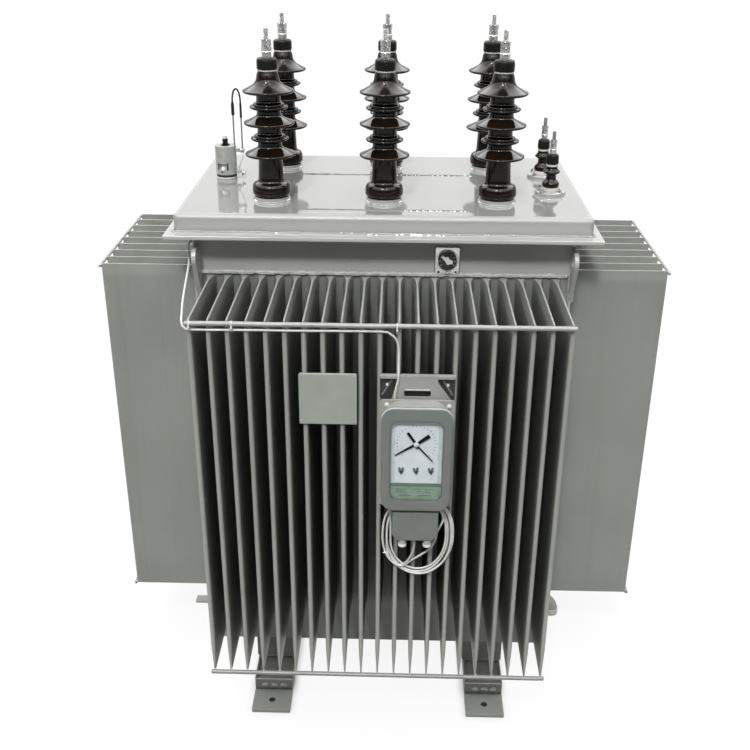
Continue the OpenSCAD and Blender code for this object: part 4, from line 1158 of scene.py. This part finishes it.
# ---- capillary tube: one piece from the wiring box through its coil to the socket ----

def smooth_path(points, step):
    """Catmull-Rom curve through points, with points about step apart"""
    pts = [Vector(p) for p in points]
    out = []
    for i in range(len(pts) - 1):
        a, b, c, d = pts[max(i - 1, 0)], pts[i], pts[i + 1], pts[min(i + 2, len(pts) - 1)]
        n = max(1, round((c - b).length / step))
        for t in [k / n for k in range(n)]:
            out.append(0.5 * (2 * b + (c - a) * t + (2 * a - 5 * b + 4 * c - d) * t ** 2
                              + (3 * b - a - 3 * c + d) * t ** 3))
    return out + [pts[-1]]


# angle turned so far, share of the oval's size in per cent, and depth, at each knot
COIL = [(0, 90, -5), (20, 97, -6), (57, 88, -3), (147, 93, -3), (199, 82, -6), (229, 53, -7),
        (300, 43, -7), (339, 58, -7), (356, 86, -7), (376, 97, -7), (417, 100, -3), (507, 98, 0),
        (597, 100, 1), (687, 100, 2), (777, 99, 3.5), (867, 96, 5), (957, 95, -4),
        (1047, 98.5, -4), (1137, 88.5, 3), (1227, 93, 3), (1317, 85, 2), (1407, 93.5, -2),
        (1497, 88, 4), (1587, 92, -2), (1677, 79, -4), (1767, 85, -3), (1857, 77, -2)]
# from the wiring box to the coil, and from the coil over the top rod to the socket
TAIL = [(90, -672, 759.9), (91, -672, 746), (92, -670, 729), (89, -664, 705), (82, -656, 682),
        (72, -649, 661)]
ROUTE = [(31, -643, 870), (35, -644, 960), (38, -645, 1080), (37, -647, 1140),
         (44, -648, 1180), (45, -647, 1195), (45, -638, 1215), (45, -631, 1243),
         (43, -631, 1264), (36, -631, 1281), (23, -631, 1292), (6, -631, 1297),
         (-90, -631, 1297), (-190, -631, 1296), (-290, -631, 1296), (-390, -631, 1295),
         (-438, -631, 1295), (-455, -632, 1297), (-463, -631, 1304), (-466, -625, 1315),
         (-469, -600, 1323), (-476, -555, 1329), (-485, -480, 1337), (-494, -400, 1344),
         (-500, -352, 1347), (-504, -318, 1351), (-509, -290, 1365), (-512.5, -266, 1383),
         (-512, -251, 1388), (-507.3, -245, 1388)]


def coil_path():
    """Turns laid by hand on a rounded oval, clockwise as seen from the front"""
    lo, hi = box("capillary_coil")
    mid, half = (lo + hi) / 2, (hi - lo) / 2 - Vector((2.9, 0, 2.9))
    out = []
    for angle, size, depth in smooth_path(COIL, 10):
        c, s = cos(radians(237 - angle)), sin(radians(237 - angle))
        # squarer above, where the case hides it
        power = 0.72 if s > 0 else 1.0
        out.append(mid + Vector((half.x * size / 100 * copysign(abs(c) ** power, c), depth,
                                 half.z * size / 100 * copysign(abs(s) ** power, s))))
    return out


def capillary():
    tail = [Vector(p) * MM for p in TAIL]
    rest = [Vector(p) * MM for p in coil_path() + ROUTE]
    points = smooth_path(tail + rest, 9 * MM)
    data = bpy.data.curves.new("capillary", "CURVE")
    data.dimensions = "3D"
    data.bevel_depth, data.bevel_resolution, data.use_fill_caps = 2.75 * MM, 3, True
    spline = data.splines.new("POLY")
    spline.points.add(len(points) - 1)
    for p, v in zip(spline.points, points):
        p.co = (*v, 1)
    data.materials.append(SHEATH)
    obj = add_object("capillary", data)
    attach(obj, "root")
    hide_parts("capillary_tube", "capillary_tail", "capillary_coil")
    cable_ties()


def cable_ties():
    """White ties that hold the tube to the top rod, and one round the coil"""
    fins_lo, fins_hi = box("fins_front")
    y, z = fins_lo.y - SIDES["front"][2] / 2, fins_hi.z - 6
    piece = Piece("ties", "capillary_sheath", [TIE])
    # band laid flat: a few thin loops side by side
    for x in (-447, -347, 40):
        for dx in (-0.9, 0, 0.9):
            piece.tube([(x + dx, y + 1 + 7.6 * c, z - 6.5 + 13.6 * s) for c, s in turns(28)],
                       0.6, 0, 6, closed=True)
        piece.block((x - 2.2, y - 9.4, z - 10), (x + 2.2, y - 6.4, z - 5.5), 0, 0.8)
    lo, hi = box("capillary_coil")
    at = shift(lo.x + 15, (lo.y + hi.y) / 2 - 1, lo.z + 70) @ rot(radians(28), "Y")
    for dz in (-0.9, 0, 0.9):
        piece.tube([at @ Vector((9 * c, 9.4 * s, dz)) for c, s in turns(28)], 0.6, 0, 6,
                   closed=True)
    # its end is left long
    piece.tube([at @ Vector((dx, -9.6, dz)) for dx, dz in ((-2, 0), (-7, -1), (-11, -4))],
               [1.6, 1.6, 0.8], 0, 8)
    piece.build()


capillary()


# ---- floor, background and lights ----

FLOOR = [(-30, -12, 0), (30, -12, 0), (30, 60, 0), (-30, 60, 0)]
SKY_FRONT, SKY_BACK = 0.10, 0.95
GLOSS_FRONT, GLOSS_BACK, STRIPS, LAMPS = 0.25, 1.25, 5.2, 28.0


def floor():
    """White to the eye and in reflections, with a thin shade round what stands on it"""
    mesh = bpy.data.meshes.new("floor")
    mesh.from_pydata(FLOOR, [], [(0, 1, 2, 3)])
    obj = add_object("floor", mesh)
    mat = finish("floor_white", (0.86, 0.86, 0.86), 0.9, (0.01, 1))
    g = Graph(mat.node_tree)
    shader = g.nodes["Principled BSDF"]
    shader.inputs["Specular IOR Level"].default_value = 0.0
    open_floor = g.maths("MULTIPLY", g.maths("POWER", g.hollow(0.025), 2.0), 0.90)
    white = g.blend(open_floor, shader, g.node("Emission"))
    dull = g.node("BsdfDiffuse", {0: (0.16, 0.16, 0.16, 1)})
    seen = g.rays("Is Camera Ray", "Is Glossy Ray", "Is Transmission Ray")
    g.put(g.nodes["Material Output"].inputs["Surface"], g.blend(seen, dull, white).outputs[0])
    mesh.materials.append(mat)


def sky():
    """White to the camera; for light and gloss it is dim in front and bright behind"""
    world = bpy.data.worlds.new("studio")
    bpy.context.scene.world = world
    world.use_nodes = True
    g = Graph(world.node_tree)
    toward = g.node("TexCoord").outputs["Generated"]
    across, back, up = g.node("SeparateXYZ", {0: toward}).outputs
    aside = g.maths("ABSOLUTE", across, 0.0)

    def ramp(value, a, b, lo, hi):
        return g.span(value, a, b, lo, hi, interpolation_type="SMOOTHSTEP")

    lean = g.maths("ADD", g.maths("MULTIPLY", back, 0.7), g.maths("MULTIPLY", up, 0.7))
    soft = g.node("Background", {1: ramp(lean, -0.1, 0.6, SKY_FRONT, SKY_BACK)})
    strips = g.maths("MULTIPLY", ramp(aside, 0.06, 0.22, 0.0, STRIPS),
                     ramp(up, 0.30, 0.48, 0.0, 1.0))
    # a row of small lamps high in front, for sparks on the glaze
    lamps = ramp(g.maths("PINGPONG", across, 0.11), 0.045, 0.03, 0.0, LAMPS)
    for value, a, b in ((aside, 0.38, 0.32), (back, 0.0, -0.2), (up, 0.42, 0.48),
                        (up, 0.70, 0.64)):
        lamps = g.maths("MULTIPLY", lamps, ramp(value, a, b, 0.0, 1.0))
    even = ramp(back, -0.3, 0.3, GLOSS_FRONT, GLOSS_BACK)
    shine = g.node("Background", {1: g.maths("ADD", g.maths("ADD", strips, lamps), even)})
    white = g.node("Background", {0: (1, 1, 1, 1)})
    mixed = g.blend(g.rays("Is Glossy Ray"), soft, shine)
    mixed = g.blend(g.rays("Is Camera Ray", "Is Transmission Ray"), mixed, white)
    g.put(g.nodes["World Output"].inputs["Surface"], mixed.outputs[0])


def sun(name, power, turn, size):
    data = bpy.data.lights.new(name, "SUN")
    data.energy = power
    data.angle = radians(size)
    add_object(name, data).rotation_euler = [radians(a) for a in turn]


floor()
sky()
sun("key", 1.7, (42, 0, -10), 8)
sun("softbox", 1.95, (25, 0, -4), 50)
bpy.context.scene.view_settings.view_transform = "Standard"
